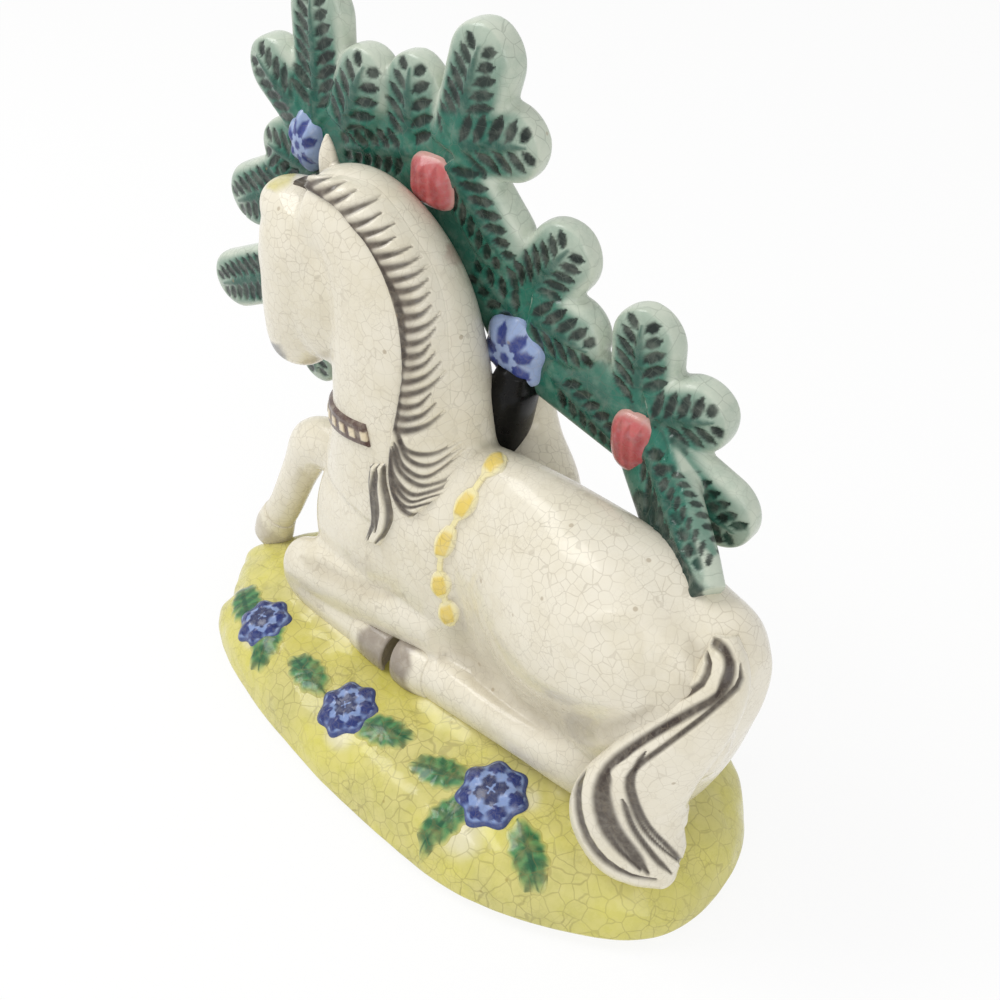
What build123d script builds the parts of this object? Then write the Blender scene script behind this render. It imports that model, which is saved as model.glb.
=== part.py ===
from build123d import *
import os
from math import atan2, degrees, hypot

# Sizes in millimetres, +X towards the tail, -Y towards the viewer, origin under the middle of the base.

# Base mound
base_length = 135.0
base_width = 69.0
base_height = 15.0
mound_shoulder = 17.0
vent_diameter = 6.0
vent_depth = 9.0
vent_offset = 26.0

# Torso, set back from the middle line of the base
horse_set_back = 5.5
torso_front = 42.0
torso_length = 108.0
torso_width = 29.0
torso_height = 60.0
haunch_length = 58.0
haunch_height = 46.0
haunch_bulge = 21.0
haunch_tilt = 8.0

# Neck and head
neck_reach = 22.0
neck_rise = 56.5
neck_depth = 50.0
neck_width = 24.0
head_reach = 11.0
head_drop = 36.0
head_depth = 23.0
head_width = 17.0
ear_length = 10.0
ear_width = 5.0
ear_thickness = 3.6
horn_length = 10.0
horn_diameter = 4.4
horn_tip = 1.2
horn_twist = 300.0
horn_yaw = 24.0
horn_dip = 34.0
horn_steps = 8

# Hair and harness, in relief on the skin
mane_relief = 1.6
mane_reach = 3.0
lock_width = 6.5
tail_width = 21.0
tail_thickness = 11.0
tail_turn = 43.0
collar_width = 5.5
collar_relief = 1.0
collar_length = 25.0
collar_tilt = 18.0
girth_relief = 0.8
lozenge_width = 4.6
lozenge_lap = 1.6

# Legs
forearm_thickness = 17.0
cannon_thickness = 10.0
hind_leg_thickness = 15.0
raised_leg_thickness = 12.0
leg_flatness_share = 0.8

# Bocage: the leafy screen, a little turned towards the head end
bocage_set_back = 15.5
bocage_turn = 2.9
bocage_width = 140.0
bocage_height = 146.0
bocage_left = 86.0
bocage_thickness = 7.0
branch_width = 17.0
branch_recess = 0.8
foot_forward = 7.0
leaf_front_bevel = 1.2
leaf_back_bevel = 2.8
leaf_stagger = 1.2
midrib_width = 1.6
midrib_relief = 0.6
trunk_width = 9.0
trunk_proud = 4.0
trunk_bevel = 2.2
post_width = 13.0
post_depth = 9.0
flower_diameter = 12.0
flower_relief = 3.0
flower_eye = 4.0
flower_eye_relief = 0.8
petal_count = 6

# Flowers and leaves on the mound
ground_flower_diameter = 12.5
ground_flower_relief = 2.6
ground_leaf_length = 12.0
ground_leaf_width = 6.5
ground_leaf_relief = 1.0

overrun = 20.0

# Shares below are of the sizes named beside them, read from the head end and from the mound's top
base_outline_shares = [
    (-1.00, 0.08), (-0.98, -0.16), (-0.885, -0.40), (-0.85, -0.56), (-0.64, -0.75), (-0.30, -0.89),
    (0.12, -0.96), (0.48, -0.92), (0.78, -0.68), (0.95, -0.40), (1.00, 0.00), (0.93, 0.48),
    (0.70, 0.85), (0.25, 1.00), (-0.30, 1.00), (-0.75, 0.80),
]
# Height on the mound, then how far its edge has drawn in there, of the shoulder
mound_shares = [(0.00, 0.12), (0.22, 0.00), (0.55, 0.10), (0.80, 0.36), (0.94, 0.78), (1.00, 1.30)]
# Along the length, height of the middle, width, height
torso_shares = [
    (0.000, 0.283, 0.34, 0.33), (0.056, 0.317, 0.62, 0.63), (0.167, 0.367, 0.79, 0.80),
    (0.315, 0.433, 0.86, 0.93), (0.480, 0.467, 0.88, 1.00), (0.648, 0.467, 0.90, 1.02),
    (0.796, 0.458, 0.92, 1.00), (0.889, 0.450, 0.86, 0.92), (0.954, 0.550, 0.64, 0.65),
    (0.995, 0.650, 0.30, 0.26),
]
# Forward and down from the poll, then along each ear: place, size
ear_place_shares = (-0.10, -0.06)
ear_shares = [(-0.40, 0.40), (0.45, 0.50), (1.00, 0.12)]
ear_spread_share = 0.22
near_ear_lean_share = 1.0
far_ear_lean_share = 0.1
horn_place_shares = (0.62, 0.02, 0.08)
horn_flat_share = 0.8
haunch_place_shares = (0.732, 0.252, 0.558)
neck_root_shares = (0.259, 0.583)
# Forward, across to the screen, up, depth, width
neck_shares = [
    (0.000, 0.03, 0.000, 1.02, 1.04), (0.000, 0.06, 0.283, 0.86, 1.02),
    (0.070, 0.09, 0.566, 0.76, 0.98), (0.220, 0.09, 0.796, 0.64, 0.90),
    (0.545, 0.06, 0.956, 0.50, 0.76), (1.000, 0.00, 1.000, 0.31, 0.58),
]
# Forward, down, depth, width
head_shares = [
    (0.00, 0.03, 0.65, 0.76), (0.10, 0.21, 1.08, 1.02), (0.32, 0.42, 1.10, 1.04), (0.66, 0.65, 0.80, 0.84),
    (0.86, 0.83, 0.63, 0.73), (0.96, 0.96, 0.48, 0.61), (1.00, 1.01, 0.26, 0.41),
]
# Along the torso, across it, up it, thickness
forearm_shares = [
    (0.389, -0.224, 0.25, 1.00), (0.222, -0.293, 0.20, 0.92), (0.074, -0.328, 0.15, 0.86),
    (-0.009, -0.328, 0.10, 0.74), (-0.042, -0.328, 0.09, 0.40),
]
cannon_shares = [
    (-0.035, -0.345, 0.067, 0.80), (0.020, -0.36, 0.060, 1.10), (0.111, -0.397, 0.047, 1.00),
    (0.204, -0.414, 0.047, 0.95),
]
fore_hoof_shares = [(0.245, -0.414, 0.045, 1.12), (0.285, -0.414, 0.042, 1.12)]
hind_leg_shares = [
    (0.815, -0.310, 0.155, 0.70), (0.769, -0.328, 0.150, 1.13), (0.620, -0.362, 0.125, 1.00),
    (0.463, -0.397, 0.083, 0.80), (0.389, -0.403, 0.058, 0.73),
]
hind_hoof_shares = [(0.352, -0.403, 0.050, 0.86), (0.318, -0.403, 0.044, 0.82)]
raised_leg_shares = [
    (0.111, 0.120, 0.483, 1.30), (0.019, 0.086, 0.533, 1.08), (-0.056, 0.052, 0.510, 0.97),
    (-0.102, 0.024, 0.367, 0.77), (-0.157, -0.017, 0.150, 0.70), (-0.185, -0.041, 0.058, 0.70),
]
raised_hoof_shares = [(-0.20, -0.047, 0.00, 0.84), (-0.213, -0.052, -0.06, 0.84)]
# Along, across, up, width, thickness
tail_shares = [
    (0.944, -0.120, 0.850, 0.33, 0.70), (0.963, -0.224, 0.733, 0.48, 0.90), (0.940, -0.345, 0.567, 0.65, 1.00),
    (0.907, -0.466, 0.392, 0.79, 1.00), (0.884, -0.552, 0.217, 1.00, 1.00), (0.903, -0.552, 0.083, 0.90, 1.00),
    (0.944, -0.517, -0.017, 0.57, 0.90), (0.963, -0.500, -0.083, 0.29, 0.60),
]
lock_shares = [
    (0.285, -0.36, 0.82, 0.70), (0.262, -0.42, 0.70, 1.00), (0.245, -0.43, 0.58, 0.85),
    (0.227, -0.42, 0.48, 0.25),
]
# Outline of the mane on the near side of the neck: forward, up
mane_outline_shares = [
    (1.05, 1.14), (0.60, 1.12), (0.20, 1.07), (-0.08, 0.98), (-0.23, 0.82), (-0.26, 0.62), (-0.18, 0.40),
    (-0.06, 0.20), (-0.24, 0.08), (-0.62, 0.24), (-0.95, 0.52), (-0.80, 0.82), (-0.40, 1.05), (0.20, 1.22),
    (0.80, 1.22),
]
collar_place_shares = (0.46, 0.29)
# Chain down the near flank: along the torso, up it
girth_shares = [(0.478, 0.955), (0.459, 0.845), (0.443, 0.72), (0.432, 0.59), (0.427, 0.46)]
# Root and tip of each leaf, and its width: across the bocage, up it, across, up, width
leaf_shares = [
    (0.154, 0.532, 0.004, 0.462, 0.093), (0.214, 0.688, 0.086, 0.626, 0.096),
    (0.286, 0.716, 0.160, 0.740, 0.092), (0.279, 0.781, 0.173, 0.870, 0.092),
    (0.286, 0.808, 0.294, 0.973, 0.096), (0.339, 0.801, 0.393, 0.904, 0.092),
    (0.446, 0.808, 0.457, 0.918, 0.092), (0.529, 0.822, 0.579, 0.979, 0.096),
    (0.536, 0.836, 0.646, 0.860, 0.096), (0.518, 0.808, 0.618, 0.699, 0.092),
    (0.621, 0.658, 0.711, 0.771, 0.096), (0.646, 0.654, 0.750, 0.637, 0.096),
    (0.811, 0.589, 0.807, 0.716, 0.096), (0.836, 0.586, 0.932, 0.627, 0.096),
    (0.886, 0.534, 0.996, 0.493, 0.100), (0.218, 0.540, 0.239, 0.384, 0.080),
]
# Run of the carrying ribbon, from the head end to its foot on the rump
branch_shares = [
    (0.190, 0.560), (0.270, 0.770), (0.493, 0.790), (0.633, 0.600), (0.816, 0.548), (0.934, 0.475),
]
bocage_flower_shares = [(0.270, 0.770), (0.493, 0.790), (0.633, 0.597), (0.816, 0.548)]
trunk_shares = [(0.640, 0.560), (0.606, 0.455)]
post_shares = [(0.668, 0.560), (0.668, 0.425)]
# Each flower's place on the mound, then the place and turn of its leaves
ground_shares = [
    ((-0.615, -0.50), [(-0.735, -0.46, 150), (-0.55, -0.58, 300)]),
    ((-0.140, -0.62), [(-0.335, -0.60, 170), (0.005, -0.60, 20)]),
    ((0.400, -0.50), [(0.235, -0.58, 200), (0.345, -0.75, 260), (0.590, -0.62, 330)]),
]

pieces = {}
boxes = {}


def seat(name, solid):
    """Add a piece, cut back to what the pieces already in place leave free."""
    box = solid.bounding_box()
    for other, other_box in boxes.items():
        if box.overlaps(other_box):
            solid = solid - pieces[other]
    pieces[name] = max(solid.solids(), key=lambda each: each.volume)
    boxes[name] = pieces[name].bounding_box()


def limb(stations, along=None, facing=Vector(0, 1, 0)):
    """Loft ellipses set square to the line through their centres, or to one direction."""
    centres = [Vector(*place) for place, _, _ in stations]
    sections = []
    for index, (_, across, deep) in enumerate(stations):
        ahead = centres[min(index + 1, len(centres) - 1)]
        run = along or (ahead - centres[max(index - 1, 0)]).normalized()
        sideways = facing - run * run.dot(facing)
        sections.append(Plane(centres[index], x_dir=sideways, z_dir=run) * Ellipse(across, deep))
    return loft(sections)


def on_torso(along_share, across_share, up_share):
    """Place given by shares of the torso, across it from its middle plane."""
    return Vector(
        along_share * torso_length - torso_front,
        horse_set_back + across_share * torso_width,
        base_height + up_share * torso_height,
    )


def leg(shares, thickness, side=1):
    """Limb along places on the torso; side -1 mirrors it to the far flank."""
    stations = []
    for along_share, across_share, up_share, size_share in shares:
        half = size_share * thickness / 2
        place = on_torso(along_share, side * across_share, up_share)
        stations.append((place, half * leg_flatness_share, half))
    return limb(stations)


def leg_and_hoof(shares, hoof_shares, thickness, side=1):
    """One smooth limb, parted across the ankle."""
    whole = leg(shares + hoof_shares, thickness, side)
    ankle, toe = [on_torso(along, side * across, up) for along, across, up, _ in (shares[-1], hoof_shares[-1])]
    cut = Plane(ankle, z_dir=toe - ankle)
    return split(whole, cut, keep=Keep.BOTTOM), split(whole, cut, keep=Keep.TOP)


def torso(skin=0.0):
    stations = []
    for along_share, up_share, width_share, height_share in torso_shares:
        half_width = width_share * torso_width / 2 + skin
        half_height = height_share * torso_height / 2 + skin
        stations.append((on_torso(along_share, 0, up_share), half_width, half_height))
    return limb(stations, along=Vector(1, 0, 0))


def on_neck(forward_share, up_share, across_share=0.0):
    root_along_share, root_up_share = neck_root_shares
    root = on_torso(root_along_share, 0, root_up_share)
    return root + Vector(-forward_share * neck_reach, across_share * neck_width, up_share * neck_rise)


def neck(skin=0.0):
    stations = []
    for forward_share, across_share, up_share, depth_share, width_share in neck_shares:
        half_width = width_share * neck_width / 2 + skin
        half_depth = depth_share * neck_depth / 2 + skin
        stations.append((on_neck(forward_share, up_share, across_share), half_width, half_depth))
    return limb(stations)


def on_head(forward_share, down_share, across_share=0.0):
    poll = on_neck(1, 1)
    return poll + Vector(-forward_share * head_reach, across_share * head_width, -down_share * head_drop)


def head():
    stations = []
    for forward_share, down_share, depth_share, width_share in head_shares:
        half_width = width_share * head_width / 2
        stations.append((on_head(forward_share, down_share), half_width, depth_share * head_depth / 2))
    return limb(stations)


def haunch(side):
    along_share, across_share, up_share = haunch_place_shares
    bulge = scale(Sphere(1), by=(haunch_length / 2, haunch_bulge / 2, haunch_height / 2))
    return Pos(*on_torso(along_share, side * across_share, up_share)) * (Rot(0, haunch_tilt, 0) * bulge)


def mound(skin=0.0):
    sections = []
    for up_share, draw_share in mound_shares:
        half_length = base_length / 2 - draw_share * mound_shoulder + skin
        half_width = base_width / 2 - draw_share * mound_shoulder + skin
        rim = [(x_share * half_length, y_share * half_width) for x_share, y_share in base_outline_shares]
        sections.append(Pos(0, 0, up_share * (base_height + skin)) * make_face(Spline(*rim, periodic=True)))
    return loft(sections)


def base_mound():
    vent = Cylinder(vent_diameter / 2, vent_depth, align=(Align.CENTER, Align.CENTER, Align.MIN))
    return mound() - Pos(vent_offset, horse_set_back, 0) * vent


def ear(side, lean_share):
    """Ear from the poll; the lean lays it back along the crest."""
    root = on_head(*ear_place_shares, ear_spread_share * side)
    rise = Vector(lean_share * ear_length, 0, ear_length)
    return limb([(root + rise * along, ear_thickness * size, ear_width * size) for along, size in ear_shares])


def horn():
    """Twisted taper: ellipses that turn as they shrink towards the tip."""
    axis = Plane(on_head(*horn_place_shares)) * Rot(0, 0, -horn_yaw) * Rot(0, -90 - horn_dip, 0)
    sections = []
    for step in range(horn_steps + 1):
        share = step / horn_steps
        radius = (horn_diameter + share * (horn_tip - horn_diameter)) / 2
        turned = Rot(0, 0, share * horn_twist) * Ellipse(radius, radius * horn_flat_share)
        sections.append(axis * Pos(0, 0, share * horn_length) * turned)
    return loft(sections)


def mane():
    rim = [on_neck(forward, up) for forward, up in mane_outline_shares]
    face = make_face(Spline(*[Vector(p.X, horse_set_back + mane_reach, p.Z) for p in rim], periodic=True))
    band = extrude(face, neck_width + overrun, dir=(0, -1, 0))
    return neck(mane_relief) & band


def tail():
    stations = []
    for along_share, across_share, up_share, width_share, thick_share in tail_shares:
        place = on_torso(along_share, across_share, up_share)
        stations.append((place, thick_share * tail_thickness / 2, width_share * tail_width / 2))
    return limb(stations, facing=Vector(0, 1, 0).rotate(Axis.Z, tail_turn))


def collar():
    """Strap round the throat, a slanted slice of the neck's skin."""
    strap = Box(collar_length, neck_width + overrun, collar_width)
    return neck(collar_relief) & (Pos(*on_neck(*collar_place_shares)) * Rot(0, -collar_tilt, 0) * strap)


def girth_chain():
    """Lozenges strung down the near flank, each long enough to lap the next."""
    spots = [on_torso(along_share, 0, up_share) for along_share, up_share in girth_shares]
    links = []
    for index, spot in enumerate(spots):
        ahead = spots[min(index + 1, len(spots) - 1)]
        run = ahead - spots[max(index - 1, 0)]
        gap = run.length / (2 if 0 < index < len(spots) - 1 else 1)
        flank = Plane(spot, x_dir=run, z_dir=(0, -1, 0))
        links.append(extrude(flank * Ellipse((gap + lozenge_lap) / 2, lozenge_width / 2), torso_width))
    return torso(girth_relief) & (links[0] + links[1:])


def paddle(length, width, thickness):
    """Rounded slab with its front face on top, softer at the back."""
    slab = extrude(SlotOverall(length, width), thickness)
    slab = chamfer(slab.edges().group_by(Axis.Z)[-1], leaf_front_bevel)
    return chamfer(slab.edges().group_by(Axis.Z)[0], leaf_back_bevel)


def on_bocage(across_share, up_share):
    return across_share * bocage_width - bocage_left, up_share * bocage_height


def between(start, end, width):
    """Middle, length over the round ends and direction of a paddle through two points."""
    across = end[0] - start[0]
    up = end[1] - start[1]
    middle = (start[0] + across / 2, start[1] + up / 2)
    return middle, hypot(across, up) + width, degrees(atan2(up, across))


def branch(start_shares, end_shares, forward):
    """Stretch of the ribbon, leaning out of the screen by so much at its end."""
    middle, length, turn = between(on_bocage(*start_shares), on_bocage(*end_shares), branch_width)
    ribbon = paddle(length, branch_width, bocage_thickness - branch_recess)
    lean = degrees(atan2(forward, length))
    placed = bocage * Pos(*middle, forward / 2 - bocage_thickness) * Rot(0, 0, turn)
    return placed * Rot(0, -lean, 0) * ribbon


def leaf(root_across, root_up, tip_across, tip_up, width_share, recess):
    width = width_share * bocage_width
    middle, length, turn = between(on_bocage(root_across, root_up), on_bocage(tip_across, tip_up), 0)
    blade = paddle(length, width, bocage_thickness - recess)
    rib = extrude(Rectangle(length - width, midrib_width), bocage_thickness - recess + midrib_relief)
    return bocage * Pos(*middle, -bocage_thickness) * Rot(0, 0, turn) * (blade + rib)


def trunk():
    """Glossy stem proud of the screen's front."""
    middle, length, turn = between(*[on_bocage(*shares) for shares in trunk_shares], trunk_width)
    stem = extrude(SlotOverall(length, trunk_width), trunk_proud)
    stem = chamfer(stem.edges().group_by(Axis.Z)[-1], trunk_bevel)
    return bocage * Pos(*middle, 0) * Rot(0, 0, turn) * stem


def back_post():
    """Prop behind the screen, down to the horse's back."""
    middle, length, turn = between(*[on_bocage(*shares) for shares in post_shares], post_width)
    return bocage * Pos(*middle, -post_depth) * Rot(0, 0, turn) * paddle(length, post_width, post_depth)


def rosette(diameter):
    """Flower outline: round petals on a ring."""
    petal = diameter / 4
    ring = PolarLocations(diameter / 2 - petal, petal_count)
    return Circle(diameter / 2 - petal) + [place * Circle(petal) for place in ring]


def bocage_flower(across_share, up_share):
    eye = extrude(Circle(flower_eye / 2), flower_relief + flower_eye_relief)
    bloom = extrude(rosette(flower_diameter), flower_relief) + eye
    return bocage * Pos(*on_bocage(across_share, up_share), -branch_recess) * bloom


def on_mound(x_share, y_share):
    return Pos(x_share * base_length / 2, y_share * base_width / 2)


def ground_flower(place_shares):
    bloom = on_mound(*place_shares) * rosette(ground_flower_diameter)
    return flower_ground & extrude(bloom, base_height + overrun)


def ground_leaf(x_share, y_share, turn):
    """Leaf between two arcs, in low relief on the mound."""
    half_length = ground_leaf_length / 2
    half_width = ground_leaf_width / 2
    arc = (half_length**2 + half_width**2) / ground_leaf_width
    blade = (Pos(0, arc - half_width) * Circle(arc)) & (Pos(0, half_width - arc) * Circle(arc))
    placed = on_mound(x_share, y_share) * Rot(0, 0, turn) * blade
    return leaf_ground & extrude(placed, base_height + overrun)


flower_ground = mound(ground_flower_relief)
leaf_ground = mound(ground_leaf_relief)
bocage = Plane((0, bocage_set_back, 0)) * Rot(0, 0, bocage_turn) * Rot(90, 0, 0)

seat("base_mound", base_mound())
seat("torso", torso())
seat("near_haunch", haunch(-1))
seat("far_haunch", haunch(1))
seat("neck", neck())
seat("head", head())
cannon, fore_hoof = leg_and_hoof(cannon_shares, fore_hoof_shares, cannon_thickness)
seat("near_foreleg", leg(forearm_shares, forearm_thickness) + cannon)
seat("near_fore_hoof", fore_hoof)
raised_leg, raised_hoof = leg_and_hoof(raised_leg_shares, raised_hoof_shares, raised_leg_thickness)
seat("far_foreleg", raised_leg)
seat("far_fore_hoof", raised_hoof)
for flank, side in (("near", 1), ("far", -1)):
    hind_leg, hind_hoof = leg_and_hoof(hind_leg_shares, hind_hoof_shares, hind_leg_thickness, side)
    seat(f"{flank}_hind_leg", hind_leg)
    seat(f"{flank}_hind_hoof", hind_hoof)
seat("near_ear", ear(-1, near_ear_lean_share))
seat("far_ear", ear(1, far_ear_lean_share))
seat("horn", horn())
seat("mane", mane())
seat("mane_lock", leg(lock_shares, lock_width))
seat("tail", tail())
seat("collar", collar())
seat("girth_chain", girth_chain())

for index, (start_shares, end_shares) in enumerate(zip(branch_shares, branch_shares[1:]), 1):
    forward = foot_forward if end_shares == branch_shares[-1] else 0
    seat(f"branch_{index}", branch(start_shares, end_shares, forward))
for index, shares in enumerate(leaf_shares, 1):
    seat(f"leaf_{index:02d}", leaf(*shares, leaf_stagger * (index % 2)))
for index, shares in enumerate(bocage_flower_shares, 1):
    seat(f"bocage_flower_{index}", bocage_flower(*shares))
seat("trunk", trunk())
seat("back_post", back_post())

for index, (flower_shares, leaf_places) in enumerate(ground_shares, 1):
    seat(f"base_flower_{index}", ground_flower(flower_shares))
    for count, place in enumerate(leaf_places, 1):
        seat(f"base_leaf_{index}_{count}", ground_leaf(*place))

os.makedirs("parts", exist_ok=True)
for name, solid in pieces.items():
    export_step(solid, f"parts/{name}.step")
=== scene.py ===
import math

import bmesh
import bpy
import numpy as np
from mathutils import Matrix, Vector
from mathutils.bvhtree import BVHTree


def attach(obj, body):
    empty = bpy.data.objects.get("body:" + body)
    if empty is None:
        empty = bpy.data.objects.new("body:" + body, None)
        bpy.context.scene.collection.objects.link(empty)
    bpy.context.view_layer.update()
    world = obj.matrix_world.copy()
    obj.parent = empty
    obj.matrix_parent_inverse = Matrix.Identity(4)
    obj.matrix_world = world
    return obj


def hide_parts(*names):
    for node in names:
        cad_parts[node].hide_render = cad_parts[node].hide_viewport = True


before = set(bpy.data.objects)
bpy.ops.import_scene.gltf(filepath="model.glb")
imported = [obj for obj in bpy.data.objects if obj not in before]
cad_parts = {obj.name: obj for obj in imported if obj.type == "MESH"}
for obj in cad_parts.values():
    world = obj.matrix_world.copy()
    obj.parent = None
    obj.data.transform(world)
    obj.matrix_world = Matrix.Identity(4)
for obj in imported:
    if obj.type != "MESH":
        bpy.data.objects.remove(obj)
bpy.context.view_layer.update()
mm = 0.001  # shapes are worked out in millimetres and stored in metres
rng = np.random.default_rng(11)
print("frame loaded:", len(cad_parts), "nodes")

# Camera: the photograph's viewpoint, also used to lay brush strokes where the photograph has them
shot = {
    "azimuth": math.radians(43.0),
    "elevation": math.radians(40.0),
    "distance": 280.0,
    "target": np.array([-18.3, 33.4, 30.3]),
    "focalPx": 1254.0,
    "framePx": 1000.0,
    "sensor": 36.0,
}
sinAz, cosAz = math.sin(shot["azimuth"]), math.cos(shot["azimuth"])
sinEl, cosEl = math.sin(shot["elevation"]), math.cos(shot["elevation"])
viewBack = np.array([sinAz * cosEl, -cosAz * cosEl, sinEl])
viewRight = np.array([cosAz, sinAz, 0.0])
viewUp = np.cross(viewBack, viewRight)
viewEye = shot["target"] + viewBack * shot["distance"]


def toPhoto(points):
    # millimetres to photograph pixels
    away = np.asarray(points, float) - viewEye
    depth = -away @ viewBack
    half = shot["framePx"] / 2
    x = half + shot["focalPx"] * (away @ viewRight) / depth
    y = half - shot["focalPx"] * (away @ viewUp) / depth
    return np.stack([x, y], axis=-1)


def photoRay(pixel):
    half = shot["framePx"] / 2
    ray = -viewBack * shot["focalPx"] + viewRight * (pixel[0] - half) + viewUp * (half - pixel[1])
    return ray / np.linalg.norm(ray)


def makeCamera():
    data = bpy.data.cameras.new("photoCamera")
    data.sensor_width = shot["sensor"]
    data.lens = shot["sensor"] * shot["focalPx"] / shot["framePx"]
    data.clip_start = 0.01
    data.clip_end = 10.0
    camera = bpy.data.objects.new("photoCamera", data)
    turn = Matrix((viewRight, viewUp, viewBack)).transposed().to_4x4()
    camera.matrix_world = Matrix.Translation(Vector(viewEye * mm)) @ turn
    bpy.context.scene.collection.objects.link(camera)
    bpy.context.scene.camera = camera


# Small maths tools
def smoothStep(low, high, value):
    share = np.clip((value - low) / (high - low), 0.0, 1.0)
    return share * share * (3.0 - 2.0 * share)


def spline(points, count):
    # Catmull-Rom curve through the rows
    rows = np.asarray(points, float)
    ends = np.vstack([2 * rows[0] - rows[1], rows, 2 * rows[-1] - rows[-2]])
    at = np.linspace(0, len(rows) - 1, count)
    low = np.minimum(at.astype(int), len(rows) - 2)
    t = (at - low)[:, None]
    a, b, c, d = ends[low], ends[low + 1], ends[low + 2], ends[low + 3]
    return 0.5 * (2 * b + (c - a) * t + (2 * a - 5 * b + 4 * c - d) * t**2 + (3 * b - a - 3 * c + d) * t**3)


def ring(points, count):
    # the same curve, closed
    rows = np.asarray(points, float)
    looped = np.vstack([rows[-2:], rows, rows[:3]])
    span = spline(looped, count * (len(looped) - 1) + 1)
    first = 2 * count
    last = (2 + len(rows)) * count
    return span[first:last:len(rows)]


def nearLine(points, line):
    # distance of each point from a line of points, and the share of the line where it is nearest
    best = np.full(len(points), 1e9)
    share = np.zeros(len(points))
    last = len(line) - 1
    for index in range(last):
        start = line[index]
        run = line[index + 1] - start
        t = np.clip((points - start) @ run / max(run @ run, 1e-9), 0.0, 1.0)
        gap = np.linalg.norm(points - start - t[:, None] * run, axis=1)
        closer = gap < best
        best = np.where(closer, gap, best)
        share = np.where(closer, (index + t) / last, share)
    return best, share


def stroke(points, path, width, lead=0.15, trail=0.35, soft=0.55):
    # mask of a brush stroke that swells from its start and thins out to its end
    gap, share = nearLine(points, spline(path, 24))
    body = smoothStep(-0.02, lead, share) * (1.0 - smoothStep(1.0 - trail, 1.04, share))
    half = width / 2 * (0.25 + 0.75 * body)
    return 1.0 - smoothStep(half * (1 - soft), half * (1 + soft), gap)


def ink(red, green, blue):
    # screen colour to linear
    values = np.array([red, green, blue]) / 255.0
    return np.where(values <= 0.04045, values / 12.92, ((values + 0.055) / 1.055) ** 2.4)


def lay(paint, mask, colour):
    # lay a colour over the paint already there
    cover = np.clip(mask, 0.0, 1.0)
    under = paint[:, 3] * (1.0 - cover)
    total = np.maximum(cover + under, 1e-6)
    paint[:, :3] = (colour * cover[:, None] + paint[:, :3] * under[:, None]) / total[:, None]
    paint[:, 3] = cover + under


def bare(count):
    return np.zeros((count, 4))


# Clay tools
def tube(stations, rings, sides, across=(0, 1, 0), bulge=2.0, upright=False):
    # rows of x, y, z, half size across, half size deep
    rows = spline(stations, rings)
    centres = rows[:, :3]
    run = np.gradient(centres, axis=0)
    if upright:  # every section stands square to the length
        run[:] = (1.0, 0.0, 0.0)
    run /= np.linalg.norm(run, axis=1)[:, None]
    side = np.array(across, float) - run * (run @ np.array(across, float))[:, None]
    side /= np.linalg.norm(side, axis=1)[:, None]
    deep = np.cross(run, side)
    turn = np.linspace(0, 2 * math.pi, sides, endpoint=False)
    cosTurn = np.sign(np.cos(turn)) * np.abs(np.cos(turn)) ** (2 / bulge)
    sinTurn = np.sign(np.sin(turn)) * np.abs(np.sin(turn)) ** (2 / bulge)
    size = np.maximum(rows[:, 3:5], 0.05)
    verts = (
        centres[:, None, :]
        + side[:, None, :] * (size[:, 0:1] * cosTurn)[:, :, None]
        + deep[:, None, :] * (size[:, 1:2] * sinTurn)[:, :, None]
    ).reshape(-1, 3)
    return verts, tubeFaces(rings, sides)


def tubeFaces(rings, sides):
    faces = []
    for row in range(rings - 1):
        for col in range(sides):
            following = (col + 1) % sides
            low, high = row * sides, (row + 1) * sides
            faces.append((low + col, low + following, high + following, high + col))
    faces.append(tuple(range(sides - 1, -1, -1)))
    faces.append(tuple(range((rings - 1) * sides, rings * sides)))
    return faces


def gridFaces(rows, cols):
    faces = []
    for row in range(rows - 1):
        for col in range(cols - 1):
            at = row * cols + col
            faces.append((at, at + 1, at + cols + 1, at + cols))
    return faces


def discFaces(rings, spokes):
    # a centre point, then rings of points
    faces = []
    for col in range(spokes):
        following = (col + 1) % spokes
        faces.append((0, 1 + col, 1 + following))
        for row in range(rings - 1):
            low, high = 1 + row * spokes, 1 + (row + 1) * spokes
            faces.append((low + col, high + col, high + following, low + following))
    return faces


def blob(centre, semiAxes, tilt, rings=40, sides=56):
    up = np.linspace(-math.pi / 2 + 0.02, math.pi / 2 - 0.02, rings)
    turn = np.linspace(0, 2 * math.pi, sides, endpoint=False)
    flat = np.stack([
        np.outer(np.cos(up), np.cos(turn)) * semiAxes[0],
        np.outer(np.cos(up), np.sin(turn)) * semiAxes[1],
        np.outer(np.sin(up), np.ones(sides)) * semiAxes[2],
    ], axis=-1).reshape(-1, 3)
    lean = np.array(Matrix.Rotation(math.radians(tilt), 3, "Y"))
    return flat @ lean.T + np.array(centre), tubeFaces(rings, sides)


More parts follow.
